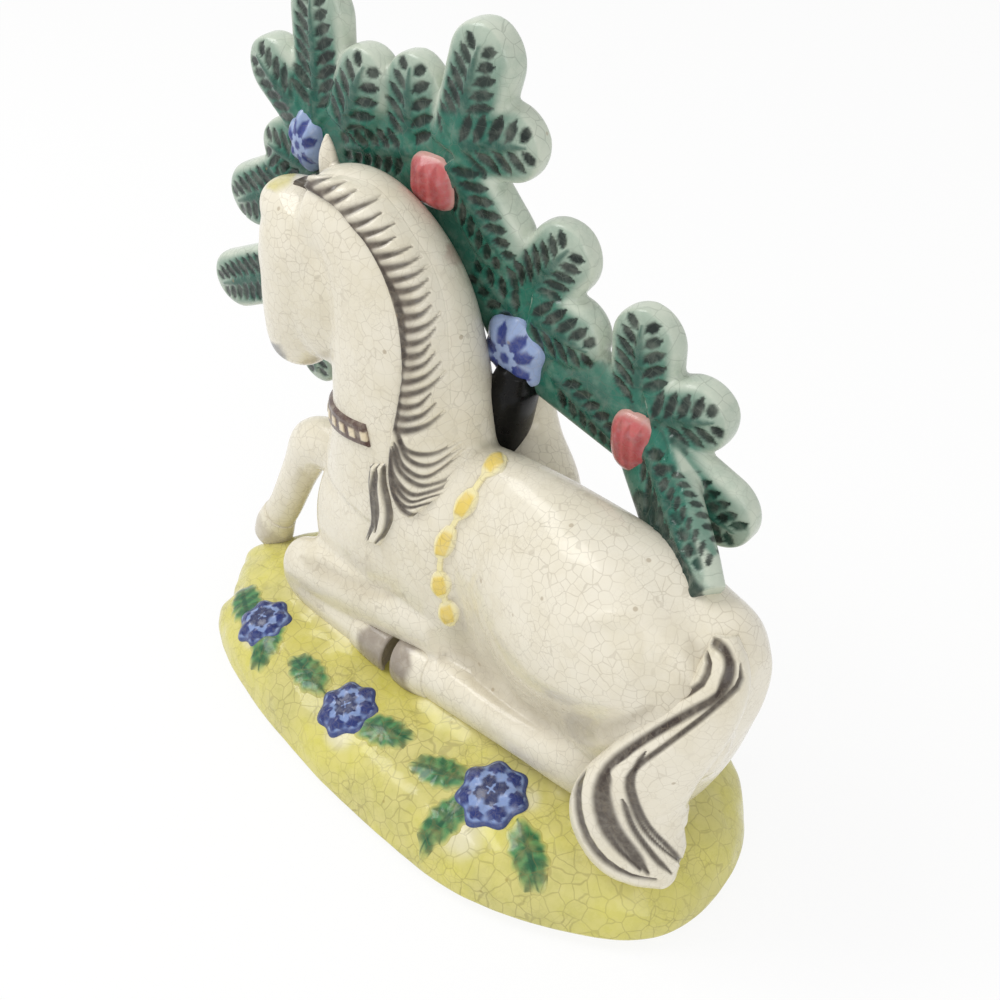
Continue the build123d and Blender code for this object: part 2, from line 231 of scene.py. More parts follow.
def fuse(shells, voxel, rounds):
    # press the shells into one skin and smooth its joins
    verts, faces = [], []
    for shellVerts, shellFaces in shells:
        first = sum(len(part) for part in verts)
        verts.append(shellVerts)
        faces += [tuple(first + corner for corner in face) for face in shellFaces]
    mesh = bpy.data.meshes.new("clay")
    mesh.from_pydata(np.vstack(verts).tolist(), [], faces)
    clay = bpy.data.objects.new("clay", mesh)
    bpy.context.scene.collection.objects.link(clay)
    remesh = clay.modifiers.new("press", "REMESH")
    remesh.mode = "VOXEL"
    remesh.voxel_size = voxel
    soften = clay.modifiers.new("soften", "SMOOTH")
    soften.factor = 0.5
    soften.iterations = rounds
    pressed = bpy.data.meshes.new_from_object(clay.evaluated_get(bpy.context.evaluated_depsgraph_get()))
    points = np.zeros(len(pressed.vertices) * 3)
    pressed.vertices.foreach_get("co", points)
    skin = points.reshape(-1, 3), [tuple(face.vertices) for face in pressed.polygons]
    bpy.data.objects.remove(clay)
    bpy.data.meshes.remove(mesh)
    bpy.data.meshes.remove(pressed)
    return skin


def ironed(verts, faces, weight, rounds):
    # smooth a skin of four-sided faces where the weight is high
    corners = np.array(faces)
    starts, ends = corners.T.ravel(), np.roll(corners, -1, axis=1).T.ravel()
    count = np.maximum(np.bincount(starts, minlength=len(verts)), 1)
    for _ in range(rounds):
        around = [np.bincount(starts, verts[ends, axis], len(verts)) / count for axis in range(3)]
        verts = verts + (np.stack(around, axis=1) - verts) * weight[:, None]
    return verts


def normalsOf(verts, faces):
    mesh = bpy.data.meshes.new("normals")
    mesh.from_pydata(verts.tolist(), [], faces)
    normals = np.zeros(len(verts) * 3)
    mesh.vertices.foreach_get("normal", normals)
    bpy.data.meshes.remove(mesh)
    return normals.reshape(-1, 3)


def treeOf(verts, faces):
    return BVHTree.FromPolygons([Vector(point) for point in verts], faces)


def piece(name, verts, faces, paint, material, slotName, *nodes):
    mesh = bpy.data.meshes.new(name)
    mesh.from_pydata((np.asarray(verts) * mm).tolist(), [], faces)
    skin = bmesh.new()
    skin.from_mesh(mesh)
    bmesh.ops.recalc_face_normals(skin, faces=skin.faces)
    skin.to_mesh(mesh)
    skin.free()
    mesh.polygons.foreach_set("use_smooth", [True] * len(mesh.polygons))
    colours = mesh.attributes.new("paint", "FLOAT_COLOR", "POINT")
    colours.data.foreach_set("color", np.asarray(paint, float).ravel())
    mesh.materials.append(material)
    made = bpy.data.objects.new(name, mesh)
    bpy.context.scene.collection.objects.link(made)
    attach(made, "root")
    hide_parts(*nodes)
    print("piece", name, len(verts), "points")


# Shader maths: a tap is one socket of a material's nodes
class Tap:
    def __init__(self, tree, socket=None):
        self.tree = tree
        self.socket = socket

    def node(self, kind, settings=None, sockets=None, out=0):
        made = self.tree.nodes.new(kind)
        for key, value in (settings or {}).items():
            setattr(made, key, value)
        for key, value in (sockets or {}).items():
            if isinstance(value, Tap):
                self.tree.links.new(value.socket, made.inputs[key])
            else:
                made.inputs[key].default_value = value
        return Tap(self.tree, made.outputs[out] if made.outputs else None)

    def also(self, out):
        return Tap(self.tree, self.socket.node.outputs[out])

    def maths(self, operation, first, second):
        return self.node("ShaderNodeMath", {"operation": operation}, {0: first, 1: second})

    def __add__(self, other):
        return self.maths("ADD", self, other)

    def __radd__(self, other):
        return self.maths("ADD", other, self)

    def __sub__(self, other):
        return self.maths("SUBTRACT", self, other)

    def __rsub__(self, other):
        return self.maths("SUBTRACT", other, self)

    def __mul__(self, other):
        return self.maths("MULTIPLY", self, other)

    def __rmul__(self, other):
        return self.maths("MULTIPLY", other, self)

    def ease(self, low, high):
        # 0 below low, 1 above high, smooth between
        return self.node(
            "ShaderNodeMapRange",
            {"interpolation_type": "SMOOTHSTEP"},
            {"Value": self, "From Min": low, "From Max": high},
        )

    def mix(self, under, over):
        # this tap is the share of the second colour
        return self.node(
            "ShaderNodeMix", {"data_type": "RGBA"}, {"Factor": self, 6: under, 7: over}, out=2
        )


def shade(colour):
    return (*[float(value) for value in colour], 1.0)


def noiseAt(place, size, detail=3.0, rough=0.55):
    return place.node(
        "ShaderNodeTexNoise", None,
        {"Vector": place, "Scale": 1 / (size * mm), "Detail": detail, "Roughness": rough},
    )


def cracksAt(place, size, width):
    # hairline crackle: the borders of warped cells
    bend = noiseAt(place, size * 1.6, 2.0).also("Color")
    warp = place.node("ShaderNodeVectorMath", {"operation": "SUBTRACT"}, {0: bend, 1: (0.5, 0.5, 0.5)})
    warp = place.node("ShaderNodeVectorMath", {"operation": "SCALE"}, {0: warp, "Scale": size * 0.55 * mm})
    bent = place.node("ShaderNodeVectorMath", {"operation": "ADD"}, {0: place, 1: warp})
    edge = place.node(
        "ShaderNodeTexVoronoi", {"feature": "DISTANCE_TO_EDGE"},
        {"Vector": bent, "Scale": 1 / (size * mm), "Randomness": 0.9},
    )
    return 1.0 - edge.ease(width / size * 0.25, width / size)


def glaze(name, look):
    material = bpy.data.materials.new(name)
    material.use_nodes = True
    tree = material.node_tree
    tree.nodes.clear()
    start = Tap(tree)
    place = start.node("ShaderNodeTexCoord", out="Object")
    brush = start.node("ShaderNodeAttribute", {"attribute_name": "paint"}, out="Color")
    cover = brush.also("Alpha")
    # ground colour drifts between two tints, with a finer mottle
    drift = noiseAt(place, look["drift"], 3.0).ease(0.35, 0.65)
    mottle = noiseAt(place, look["drift"] * 0.18, 4.0).ease(0.3, 0.7)
    ground = drift.mix(shade(look["ground"]), shade(look["tint"]))
    ground = (mottle * look["mottle"]).mix(ground, shade(look["mottleTint"]))
    # brush work, a little uneven in strength
    streak = noiseAt(place, look["streak"], 3.0).ease(0.25, 0.6)
    painted = (cover * (1.0 - look["thin"] * (1.0 - streak))).mix(ground, brush)
    # crackle: a coarse net and a finer one, each fading in and out
    patch = noiseAt(place, look["crackle"] * 5.0, 2.0).ease(0.32, 0.62)
    coarse = cracksAt(place, look["crackle"], look["crackleWidth"]) * (0.35 + 0.65 * patch)
    finePatch = noiseAt(place, look["crackle"] * 3.3, 2.0).ease(0.42, 0.68)
    fine = cracksAt(place, look["crackle"] * 0.55, look["crackleWidth"] * 0.7) * finePatch
    net = coarse * look["crackleDepth"] + fine * (look["crackleDepth"] * 0.55)
    crazed = net.mix(painted, shade(look["crackleInk"]))
    # pin holes and iron specks
    speck = place.node(
        "ShaderNodeTexVoronoi", None, {"Vector": place, "Scale": 1 / (look["speckGap"] * mm)}
    )
    dots = 1.0 - speck.ease(0.035, 0.06)
    finish = (dots * look["speck"]).mix(crazed, shade(look["speckInk"]))
    swell = noiseAt(place, look["swell"], 2.0) * 0.6 - net * 0.5
    bump = place.node(
        "ShaderNodeBump", None, {"Height": swell, "Strength": look["bump"], "Distance": 0.0004}
    )
    rough = look["rough"] + 0.12 * mottle + 0.2 * net
    shader = place.node("ShaderNodeBsdfPrincipled", None, {
        "Base Color": finish,
        "Roughness": rough,
        "Normal": bump,
        "IOR": look["ior"],
        "Coat Weight": look["coat"],
        "Coat Roughness": look["coatRough"],
        "Coat IOR": look["coatIor"],
    })
    place.node("ShaderNodeOutputMaterial", None, {"Surface": shader})
    return material


bodyGlaze = {
    "ground": ink(230, 223, 205), "tint": ink(222, 214, 192), "drift": 22.0,
    "mottle": 0.35, "mottleTint": ink(236, 231, 217), "streak": 3.0, "thin": 0.25,
    "crackle": 2.0, "crackleWidth": 0.11, "crackleDepth": 0.26, "crackleInk": ink(140, 126, 104),
    "speck": 0.5, "speckGap": 9.0, "speckInk": ink(150, 130, 100), "bump": 0.25, "coat": 0.4, "ior": 1.3,
    "rough": 0.24, "coatRough": 0.09, "coatIor": 1.38, "swell": 6.0,
}
moundGlaze = dict(
    bodyGlaze, ground=ink(211, 204, 104), tint=ink(196, 190, 118), drift=16.0, mottle=0.45,
    mottleTint=ink(221, 211, 140), crackle=3.0, crackleWidth=0.16, crackleDepth=0.34,
    crackleInk=ink(120, 108, 62), speckInk=ink(150, 130, 60),
)
leafGlaze = dict(
    bodyGlaze, ground=ink(194, 203, 187), tint=ink(178, 191, 175), drift=12.0, mottle=0.4,
    mottleTint=ink(208, 213, 197), crackle=3.6, crackleDepth=0.30, crackleInk=ink(96, 108, 96),
    streak=2.2, thin=0.15,
)
hairGlaze = dict(bodyGlaze, streak=1.6, thin=0.12, crackleDepth=0.2)
trunkGlaze = dict(
    bodyGlaze, ground=ink(8, 8, 10), tint=ink(14, 14, 14), mottleTint=ink(20, 20, 20),
    crackleDepth=0.08, crackleInk=ink(70, 68, 60), speck=0.0, coat=0.2, ior=1.2,
)
bloomGlaze = dict(
    bodyGlaze, ground=ink(206, 212, 222), tint=ink(190, 200, 220), drift=5.0, streak=1.4, thin=0.12,
    crackleDepth=0.15,
)

bodyMaterial = glaze("creamGlaze", bodyGlaze)
moundMaterial = glaze("yellowGreenGlaze", moundGlaze)
leafMaterial = glaze("sageGlaze", leafGlaze)
hairMaterial = glaze("hairGlaze", hairGlaze)
trunkMaterial = glaze("blackGlaze", trunkGlaze)
bloomMaterial = glaze("flowerGlaze", bloomGlaze)
print("glazes made")

# Horse: rows of x, y, z, half width, half depth
middle = 5.5
horse = {
    "torso": [
        (-42, middle, 32, 4.9, 9.9), (-36, middle, 34, 9, 19), (-24, middle, 37, 11.5, 24),
        (-8, middle, 41, 12.5, 28), (9.8, middle, 43, 12.8, 30), (28, middle, 43, 13, 30.6),
        (44, middle, 42.5, 13.3, 30), (54, middle, 42, 12.5, 27.6), (61, middle, 48, 9.3, 19.5),
        (65.3, middle, 54, 4.4, 7.8),
    ],
    "neck": [
        (-16, 6.2, 50, 12.5, 23.5), (-16, 6.9, 66, 12.2, 19.5), (-17, 7.5, 82, 11.8, 17.6),
        (-19.6, 7.5, 95, 10.8, 15.6), (-26.5, 6.9, 104, 9.1, 12.5), (-36, middle, 106.5, 7, 7.75),
    ],
    "head": [
        (-37, middle, 106.6, 6.5, 8.5), (-38, middle, 99.6, 8.7, 12.4), (-39.8, middle, 91.4, 8.8, 12.6),
        (-43.2, middle, 83.1, 8.0, 10.4), (-45.9, middle, 76.6, 6.8, 8.2), (-47.3, middle, 71.9, 5.6, 6.2),
        (-47.8, middle, 70.1, 3.7, 3.4),
    ],
    "forearm": [
        (0, -1, 30, 6.8, 8.5), (-18, -3, 27, 6.2, 7.8), (-34, -4, 24, 5.8, 7.3), (-43, -4, 21, 5, 6.3),
        (-46.5, -4, 20.4, 2.7, 3.4),
    ],
    "cannon": [
        (-45.8, -4.5, 19, 3.2, 4), (-40, -5, 18.6, 4.4, 5.5), (-30, -6, 17.8, 4, 5),
        (-20, -6.5, 17.8, 3.8, 4.8),
    ],
    "raisedLeg": [
        (-30, 9, 44, 6.2, 7.8), (-40, 8, 47, 5.2, 6.5), (-48, 7, 45.6, 4.7, 5.8), (-53, 6.2, 37, 3.7, 4.6),
        (-59, 5, 24, 3.4, 4.2), (-62, 4.3, 18.5, 3.4, 4.2),
    ],
    "hindLeg": [
        (46, -3.5, 24.3, 4.2, 5.3), (41, -4, 24, 6.8, 8.5), (25, -5, 22.5, 6, 7.5), (8, -6, 20, 4.8, 6),
        (0, -6.2, 18.5, 4.4, 5.5),
    ],
    "nearEar": [(-37, 1.8, 104.5, 1.4, 2), (-31.5, 1.8, 110.5, 1.6, 2.2), (-27.5, 1.8, 114.2, 0.5, 0.7)],
    "farEar": [(-37.2, 9.2, 104.7, 1.5, 2), (-37.5, 9.2, 113, 1.7, 2.2), (-37, 9.2, 118.6, 0.5, 0.7)],
    "post": [
        (-0.4, 22.4, 88, 4.4, 4.2), (-0.3, 22.4, 78, 4.5, 4.4), (0.2, 22.2, 72, 4.7, 4.6),
        (1.6, 21.2, 66, 5.8, 5.6),
        (6, 16.5, 58, 10, 7.8), (10, 9, 48, 12, 7),
    ],
    "haunchCentre": (37.0, -1.8, 48.5), "haunchSize": (29, 10.5, 23), "haunchTilt": 8.0,
    "farHaunch": (34.0, 11.0, 45.5), "farHaunchSize": (27, 10, 21.5),
    "cheekCentre": (-34.5, middle, 90.5), "cheekSize": (13.5, 8.6, 17.0), "cheekTilt": 12.0,
    "pollCentre": (-40.5, middle, 103.0), "pollSize": (10.5, 7.2, 6.2), "pollTilt": 8.0,
    # folds of the skin in photograph pixels: path, reach, depth in millimetres
    "folds": [
        ([(505, 470), (470, 510), (450, 550), (445, 590), (452, 625), (462, 650)], 15, 1.3),
        ([(302, 557), (324, 570), (350, 583), (376, 591), (404, 593)], 7, 0.9),
        ([(446, 560), (452, 600), (462, 640), (482, 672), (516, 704), (561, 722), (608, 724), (646, 706),
            (690, 666)],
         16, 2.3),
        ([(470, 480), (530, 512), (572, 530), (614, 554), (650, 588), (690, 640)], 24, -1.7),
        ([(500, 600), (560, 650), (620, 680), (660, 690)], 60, -1.2),
        ([(560, 622), (600, 618), (650, 620), (700, 632)], 9, -0.7),
    ],
    # lines in photograph pixels where creases between the solids are smoothed away, with how far from them
    "ironed": [
        ([(530, 512), (572, 533), (612, 545), (642, 568), (664, 612)], 16, 44),
        ([(474, 640), (500, 672), (540, 702), (590, 722)], 8, 24),
    ],
    "eye": {
        "x": -50.4, "spread": 4.0, "up": 93.5, "radius": 2.4, "halfLength": 2.4, "halfHeight": 1.3,
        "white": ink(236, 231, 219), "lid": ink(112, 92, 72), "pupil": ink(34, 27, 22),
    },
    # painted marks and painted shade in photograph pixels: path, width, strength, colour
    "marksAndShade": [
        ([(271, 344), (277, 357), (287, 365)], 14, 0.85, ink(84, 92, 106)),
        # reddish-brown wash in the crest's hollow: glaze pooled there, darkened further as painted shade
        ([(449, 246), (458, 254), (466, 263)], 20, 0.5, ink(150, 96, 82)),
        ([(268, 187), (281, 180), (294, 174)], 14, 0.8, ink(204, 194, 108)),
        # painted shade under the jaw
        ([(303, 366), (318, 358), (330, 351)], 10, 0.4, ink(160, 146, 104)),
        # painted shade, olive-grey, on the inside of the raised far foreleg
        ([(300, 470), (306, 500), (300, 530)], 22, 0.35, ink(176, 164, 120)),
        # painted shade in the crease round the haunch's lower edge, with the glaze that pools there
        ([(452, 600), (462, 640), (482, 674), (516, 706), (561, 725), (608, 728), (650, 708)], 26, 0.5,
            ink(168, 158, 136)),
        # painted shade in the crease above the folded near foreleg
        ([(302, 557), (324, 572), (350, 585), (376, 593), (404, 595)], 16, 0.4, ink(170, 160, 136)),
        # broad painted shade below the haunch
        ([(490, 640), (520, 690), (560, 722), (600, 736)], 44, 0.25, ink(186, 176, 152)),
        # painted shade along the haunch's back edge by the tail, on the side turned from the light
        ([(690, 640), (700, 672), (670, 706), (610, 740)], 26, 0.3, ink(176, 166, 146)),
        # more painted shade under the jaw
        ([(300, 372), (316, 366), (330, 356)], 16, 0.4, ink(172, 160, 126)),
    ],
    "voxel": 0.62, "rounds": 14,
}


def mirrored(rows):
    return [(row[0], 2 * middle - row[1], *row[2:]) for row in rows]


def shapeHorse():
    shells = [
        tube(horse["torso"], 90, 72, upright=True), tube(horse["neck"], 60, 64),
        tube(horse["head"], 50, 56),
        tube(horse["forearm"], 50, 40), tube(horse["cannon"], 30, 32), tube(horse["raisedLeg"], 60, 36),
        tube(horse["hindLeg"], 50, 40), tube(mirrored(horse["hindLeg"]), 50, 40),
        tube(horse["nearEar"], 24, 24), tube(horse["farEar"], 24, 24),
        tube(horse["post"], 40, 40, (1, 0, 0)),
        blob(horse["haunchCentre"], horse["haunchSize"], horse["haunchTilt"]),
        blob(horse["farHaunch"], horse["farHaunchSize"], horse["haunchTilt"]),
        blob(horse["cheekCentre"], horse["cheekSize"], horse["cheekTilt"]),
        blob(horse["pollCentre"], horse["pollSize"], horse["pollTilt"]),
    ]
    verts, faces = fuse(shells, horse["voxel"], horse["rounds"])
    normals = normalsOf(verts, faces)
    pixels = toPhoto(verts)
    facing = smoothStep(0.0, 0.25, normals @ viewBack)
    for path, reach, depth in horse["folds"]:
        gap, share = nearLine(pixels, spline(path, 24))
        ends = smoothStep(0.0, 0.3, share) * (1.0 - smoothStep(0.65, 1.0, share))
        verts = verts - normals * (depth * facing * ends * np.exp(-((gap / reach) ** 2)))[:, None]
    for path, whole, none in horse["ironed"]:
        gap, _ = nearLine(pixels, spline(path, 24))
        verts = ironed(verts, faces, 0.5 * facing * (1.0 - smoothStep(whole, none, gap)), 70)
    for side in (-1, 1):
        gap = np.linalg.norm(verts - eyeSpot(side), axis=1)
        verts = verts + normals * (0.5 * np.exp(-((gap / horse["eye"]["radius"]) ** 2)))[:, None]
    return verts, faces


def eyeSpot(side):
    return np.array([horse["eye"]["x"], middle + side * horse["eye"]["spread"], horse["eye"]["up"]])


horseVerts, horseFaces = shapeHorse()
horseNormals = normalsOf(horseVerts, horseFaces)
print("horse pressed", len(horseVerts), "points")


def paintHorse():
    paint = bare(len(horseVerts))
    pixels = toPhoto(horseVerts)
    facing = smoothStep(0.0, 0.2, horseNormals @ viewBack)
    for path, width, strength, colour in horse["marksAndShade"]:
        lay(paint, facing * strength * stroke(pixels, path, width, soft=0.8), colour)
    for side in (-1, 1):
        away = horseVerts - eyeSpot(side)
        close = np.linalg.norm(away, axis=1) < 5.0
        level = np.hypot(away[:, 0], away[:, 1])
        almond = np.hypot(level / horse["eye"]["halfLength"], away[:, 2] / horse["eye"]["halfHeight"])
        lay(paint, 0.7 * close * (1 - smoothStep(0.8, 1.0, almond)), horse["eye"]["white"])
        upper = 0.3 + 0.55 * smoothStep(-0.2, 0.4, away[:, 2])  # the upper lid is drawn darker
        lay(paint, upper * close * (1 - smoothStep(0.08, 0.3, np.abs(almond - 1.0))), horse["eye"]["lid"])
        lay(paint, 0.95 * close * (1 - smoothStep(0.8, 1.3, np.hypot(level, away[:, 2]))),
            horse["eye"]["pupil"])
    return paint


piece(
    "horseBody", horseVerts, horseFaces, paintHorse(), bodyMaterial, "body_glaze",
    "torso", "near_haunch", "far_haunch", "neck", "head", "near_foreleg", "far_foreleg",
    "near_hind_leg", "far_hind_leg", "near_ear", "far_ear", "back_post",
)
horseTree = treeOf(horseVerts, horseFaces)


def onHorse(pixel):
    # where the photograph's pixel falls on the horse
    hit, normal, _, _ = horseTree.ray_cast(Vector(viewEye), Vector(photoRay(pixel)))
    if hit is None:
        return None
    return np.array(hit), np.array(normal)


def skinPatch(edgeA, edgeB, rows, cols):
    # grid laid on the horse between two edges drawn in photograph pixels
    first, second = spline(edgeA, rows), spline(edgeB, rows)
    spots = np.zeros((rows, cols, 3))
    outs = np.zeros((rows, cols, 3))
    missed = np.zeros((rows, cols), bool)
    for row in range(rows):
        for col in range(cols):
            share = col / (cols - 1)
            found = onHorse(first[row] * (1 - share) + second[row] * share)
            if found is None:
                missed[row, col] = True
            else:
                spots[row, col], outs[row, col] = found
    for row in range(rows):
        for col in range(cols):
            if missed[row, col]:
                spots[row, col], outs[row, col] = spots[row, col - 1], outs[row, col - 1]
    return spots.reshape(-1, 3), outs.reshape(-1, 3)


def edgeFade(rows, cols, rim):
    # 0 at a patch's border, 1 inside it
    down = np.minimum(np.arange(rows), np.arange(rows)[::-1])[:, None] / rim
    along = np.minimum(np.arange(cols), np.arange(cols)[::-1])[None, :] / rim
    return smoothStep(0.0, 1.0, np.minimum(down, along)).ravel()


def shell(top, under, faces, rim):
    # close a sheet with an underside and a wall round its rim
    count = len(top)
    back = [tuple(count + corner for corner in reversed(face)) for face in faces]
    wall = [(a, b, count + b, count + a) for a, b in zip(rim, rim[1:] + rim[:1])]
    return np.vstack([top, under]), faces + back + wall


def gridRim(rows, cols):
    last = (rows - 1) * cols
    down = [row * cols + cols - 1 for row in range(1, rows)]
    up = [row * cols for row in range(rows - 2, 0, -1)]
    return list(range(cols)) + down + list(range(last + cols - 2, last - 1, -1)) + up


def reliefPiece(name, spots, outs, height, rows, cols, paint, material, slotName, node):
    # relief on the skin, backed by a layer under it
    verts, faces = shell(spots + outs * height[:, None], spots - outs, gridFaces(rows, cols),
        gridRim(rows, cols))
    piece(name, verts, faces, np.vstack([paint, paint]), material, slotName, node)


# Mane in photograph pixels, forelock to withers: its dark edge, the hooks and ends of its strokes
mane = {
    "left": [
        (291, 184), (306, 190), (334, 208), (352, 229), (366, 246), (381, 274), (392, 304), (398, 332),
        (401, 372), (397, 402), (391, 434), (387, 462), (388, 488), (398, 510), (412, 519),
    ],
    "right": [
        (316, 174), (342, 174), (376, 184), (398, 206), (414, 230), (432, 258), (444, 288), (450, 318),
        (452, 356), (454, 388), (456, 412), (462, 432), (472, 448), (462, 472), (446, 492),
    ],
    "hooks": [
        (297, 184), (316, 193), (334, 209), (352, 228), (368, 243), (380, 262), (393, 282), (402, 300),
        (408, 323),
        (409, 345), (408, 366), (405, 388), (404, 408), (402, 428),
    ],
    "ends": [
        (322, 171), (352, 176), (374, 190), (389, 212), (403, 232), (417, 251), (427, 268), (435, 288),
        (439, 308),
        (440, 328), (440, 348), (444, 368), (444, 390), (443, 412),
    ],
    "curls": [
        [(398, 425), (408, 447), (434, 452), (464, 438)], [(397, 440), (406, 464), (430, 474), (468, 448)],
        [(393, 446), (396, 472), (414, 492), (442, 488), (466, 462)],
        [(389, 458), (394, 488), (412, 506), (440, 500)],
        [(390, 470), (400, 500), (418, 515), (440, 508), (454, 490)],
        [(400, 432), (410, 456), (432, 463), (462, 446)],
        [(395, 444), (402, 468), (422, 483), (446, 480), (468, 456)],
        [(391, 452), (396, 480), (414, 500), (442, 494)],
    ],
    "rows": 260, "cols": 64, "swell": 1.3, "groove": 0.42, "sunk": 0.4, "strokes": 23,
    "ink": ink(58, 49, 43), "faint": ink(120, 108, 96),
}


def maneStrokes():
    # each hair line runs down the dark edge, turns at its hook and sweeps up to the right
    hooks, ends = spline(mane["hooks"], mane["strokes"]), spline(mane["ends"], mane["strokes"])
    paths = []
    for index, (hook, end) in enumerate(zip(hooks, ends)):
        share = index / (mane["strokes"] - 1)
        reach = 0.66 + 0.42 * rng.random()
        tip = hook + (end - hook) * reach
        start = hook + np.array([-7.0 - 5.0 * share, -10.0 - 7.0 * share])
        turn = hook + np.array([-2.0, -0.5])
        sag = hook * 0.5 + tip * 0.5 + np.array([1.5, 1.0 + 4.0 * share])
        paths.append((np.array([start, turn, sag, tip]), 7.8 + 2.4 * rng.random()))
    return paths + [(np.array(curl), 6.5) for curl in mane["curls"]]


def makeMane():
    rows, cols = mane["rows"], mane["cols"]
    spots, outs = skinPatch(mane["left"], mane["right"], rows, cols)
    pixels = toPhoto(spots)
    inside = edgeFade(rows, cols, 4)
    across = np.tile(np.linspace(0, 1, cols), rows)
    paint = bare(len(spots))
    depth = np.zeros(len(spots))
    for path, width in maneStrokes():
        mark = stroke(pixels, path, width, 0.1, 0.55, 0.6)
        thinning = 1.0 - 0.45 * smoothStep(0.3, 0.9, across)
        lay(paint, mark * 0.4 * thinning, mane["faint"])
        lay(paint, stroke(pixels, path, width * 0.72, 0.1, 0.6, 0.6) * 0.9 * thinning, mane["ink"])
        depth = np.maximum(depth, mark)
    lay(paint, 0.35 * stroke(pixels, mane["hooks"], 15.0, 0.05, 0.1, 0.9), mane["faint"])
    edge = np.array(mane["hooks"]) - np.array([4.0, 2.0])
    lay(paint, 0.75 * stroke(pixels, edge, 6.5, 0.02, 0.1), mane["ink"])
    crown = inside * (1.0 - smoothStep(0.35, 1.0, across))
    height = mane["swell"] * crown - mane["sunk"] * (1 - inside) - mane["groove"] * depth * inside
    reliefPiece("maneHair", spots, outs, height, rows, cols, paint, hairMaterial, "hair_glaze", "mane")


makeMane()

# Mane lock in front of the shoulder
lock = {
    "left": [(371, 462), (368, 480), (369, 500), (370, 521), (364, 542)],
    "right": [(387, 462), (388, 482), (393, 503), (394, 522), (380, 548)],
    "lines": [
        [(374, 463), (370, 482), (372, 505), (372, 526), (367, 541)],
        [(380, 463), (378, 486), (380, 508), (379, 530)],
        [(385, 464), (387, 486), (391, 508), (389, 528), (378, 543)],
        [(377, 470), (375, 495), (376, 520), (372, 538)],
    ],
    "rows": 90, "cols": 32, "swell": 1.2, "sunk": 0.4, "width": 5.4, "ink": ink(66, 58, 52),
}


def makeLock():
    rows, cols = lock["rows"], lock["cols"]
    spots, outs = skinPatch(lock["left"], lock["right"], rows, cols)
    pixels = toPhoto(spots)
    inside = edgeFade(rows, cols, 5)
    paint = bare(len(spots))
    depth = np.zeros(len(spots))
    for path in lock["lines"]:
        mark = stroke(pixels, path, lock["width"], 0.2, 0.3)
        lay(paint, mark * 0.88, lock["ink"])
        depth = np.maximum(depth, mark)
    height = lock["swell"] * inside - lock["sunk"] * (1 - inside) - 0.5 * depth * inside
    reliefPiece("maneLock", spots, outs, height, rows, cols, paint, hairMaterial, "hair_glaze", "mane_lock")


makeLock()

# Tail: rows of x, y, z, half width, half thickness; streaks in photograph pixels with their widths
tail = {
    "rows": [
        (59.9, 2, 66.5, 2.0, 2.4), (61.6, 0, 62, 4.2, 4.4), (61.4, -1.8, 56.5, 5.6, 5.2),
        (59.5, -4.5, 49, 6.9, 5.5),
        (56, -8, 39.5, 8.5, 5.6), (53.6, -10.5, 30.5, 10.4, 5.6), (55.2, -10.7, 23, 9.8, 5.5),
        (59, -9.8, 17.5, 7.0, 5),
        (61.6, -9, 14, 2.6, 3.2),
    ],
    "across": (0.731, 0.682, 0.0),
    "streaks": [
        ([(703, 645), (708, 664), (699, 686), (664, 704), (625, 726), (595, 747), (580, 774), (577, 804),
            (585, 835),
          (603, 860), (630, 876), (656, 880)], 7.0),
        ([(724, 647), (732, 669), (721, 695), (682, 717), (638, 743), (609, 765), (597, 791), (601, 822),
            (616, 848),
          (640, 871)], 10.0),
        ([(708, 638), (726, 652), (729, 672), (716, 698)], 11.0),
        ([(741, 664), (739, 686), (704, 717), (664, 747), (640, 765), (627, 782), (635, 813), (651, 839),
          (678, 861)], 6.0),
        ([(607, 770), (604, 795), (614, 828), (635, 857), (648, 874)], 13.0),
        ([(645, 752), (635, 769), (633, 791), (648, 826), (678, 857), (684, 872)], 5.5),
        ([(622, 800), (634, 830), (655, 858), (672, 874)], 6.5),
        ([(690, 712), (640, 742), (616, 764)], 7.0),
    ],
    "groove": 0.5, "ink": ink(56, 45, 39),
}


def makeTail():
    verts, faces = tube(tail["rows"], 320, 190, tail["across"])
    normals = normalsOf(verts, faces)
    pixels = toPhoto(verts)
    facing = smoothStep(-0.05, 0.15, normals @ viewBack)
    paint = bare(len(verts))
    depth = np.zeros(len(verts))
    for path, width in tail["streaks"]:
        mark = facing * stroke(pixels, path, width, 0.12, 0.25)
        lay(paint, mark * 0.92, tail["ink"])
        depth = np.maximum(depth, mark)
    verts = verts - normals * (tail["groove"] * depth)[:, None]
    piece("tailHair", verts, faces, paint, hairMaterial, "hair_glaze", "tail")


makeTail()

# Hooves: stub from the ankle with a dished sole
hooves = {
    "near_fore_hoof": [(-21, -6.5, 17.8, 4.0, 5.0), (-16, -6.5, 17.6, 4.5, 5.6),
        (-11.2, -6.5, 17.5, 4.5, 5.6)],
    "far_fore_hoof": [(-61.6, 4.4, 19.3, 3.5, 4.3), (-63.6, 4.1, 15, 4.0, 5.0), (-65, 4, 11.4, 4.0, 5.0)],
    "near_hind_hoof": [(1, -6.2, 18.7, 4.5, 5.6), (-4, -6.2, 18, 5.2, 6.4), (-7.7, -6.2, 17.6, 5.0, 6.2)],
    "ink": ink(138, 126, 116), "soleHighlight": ink(186, 176, 160),
}


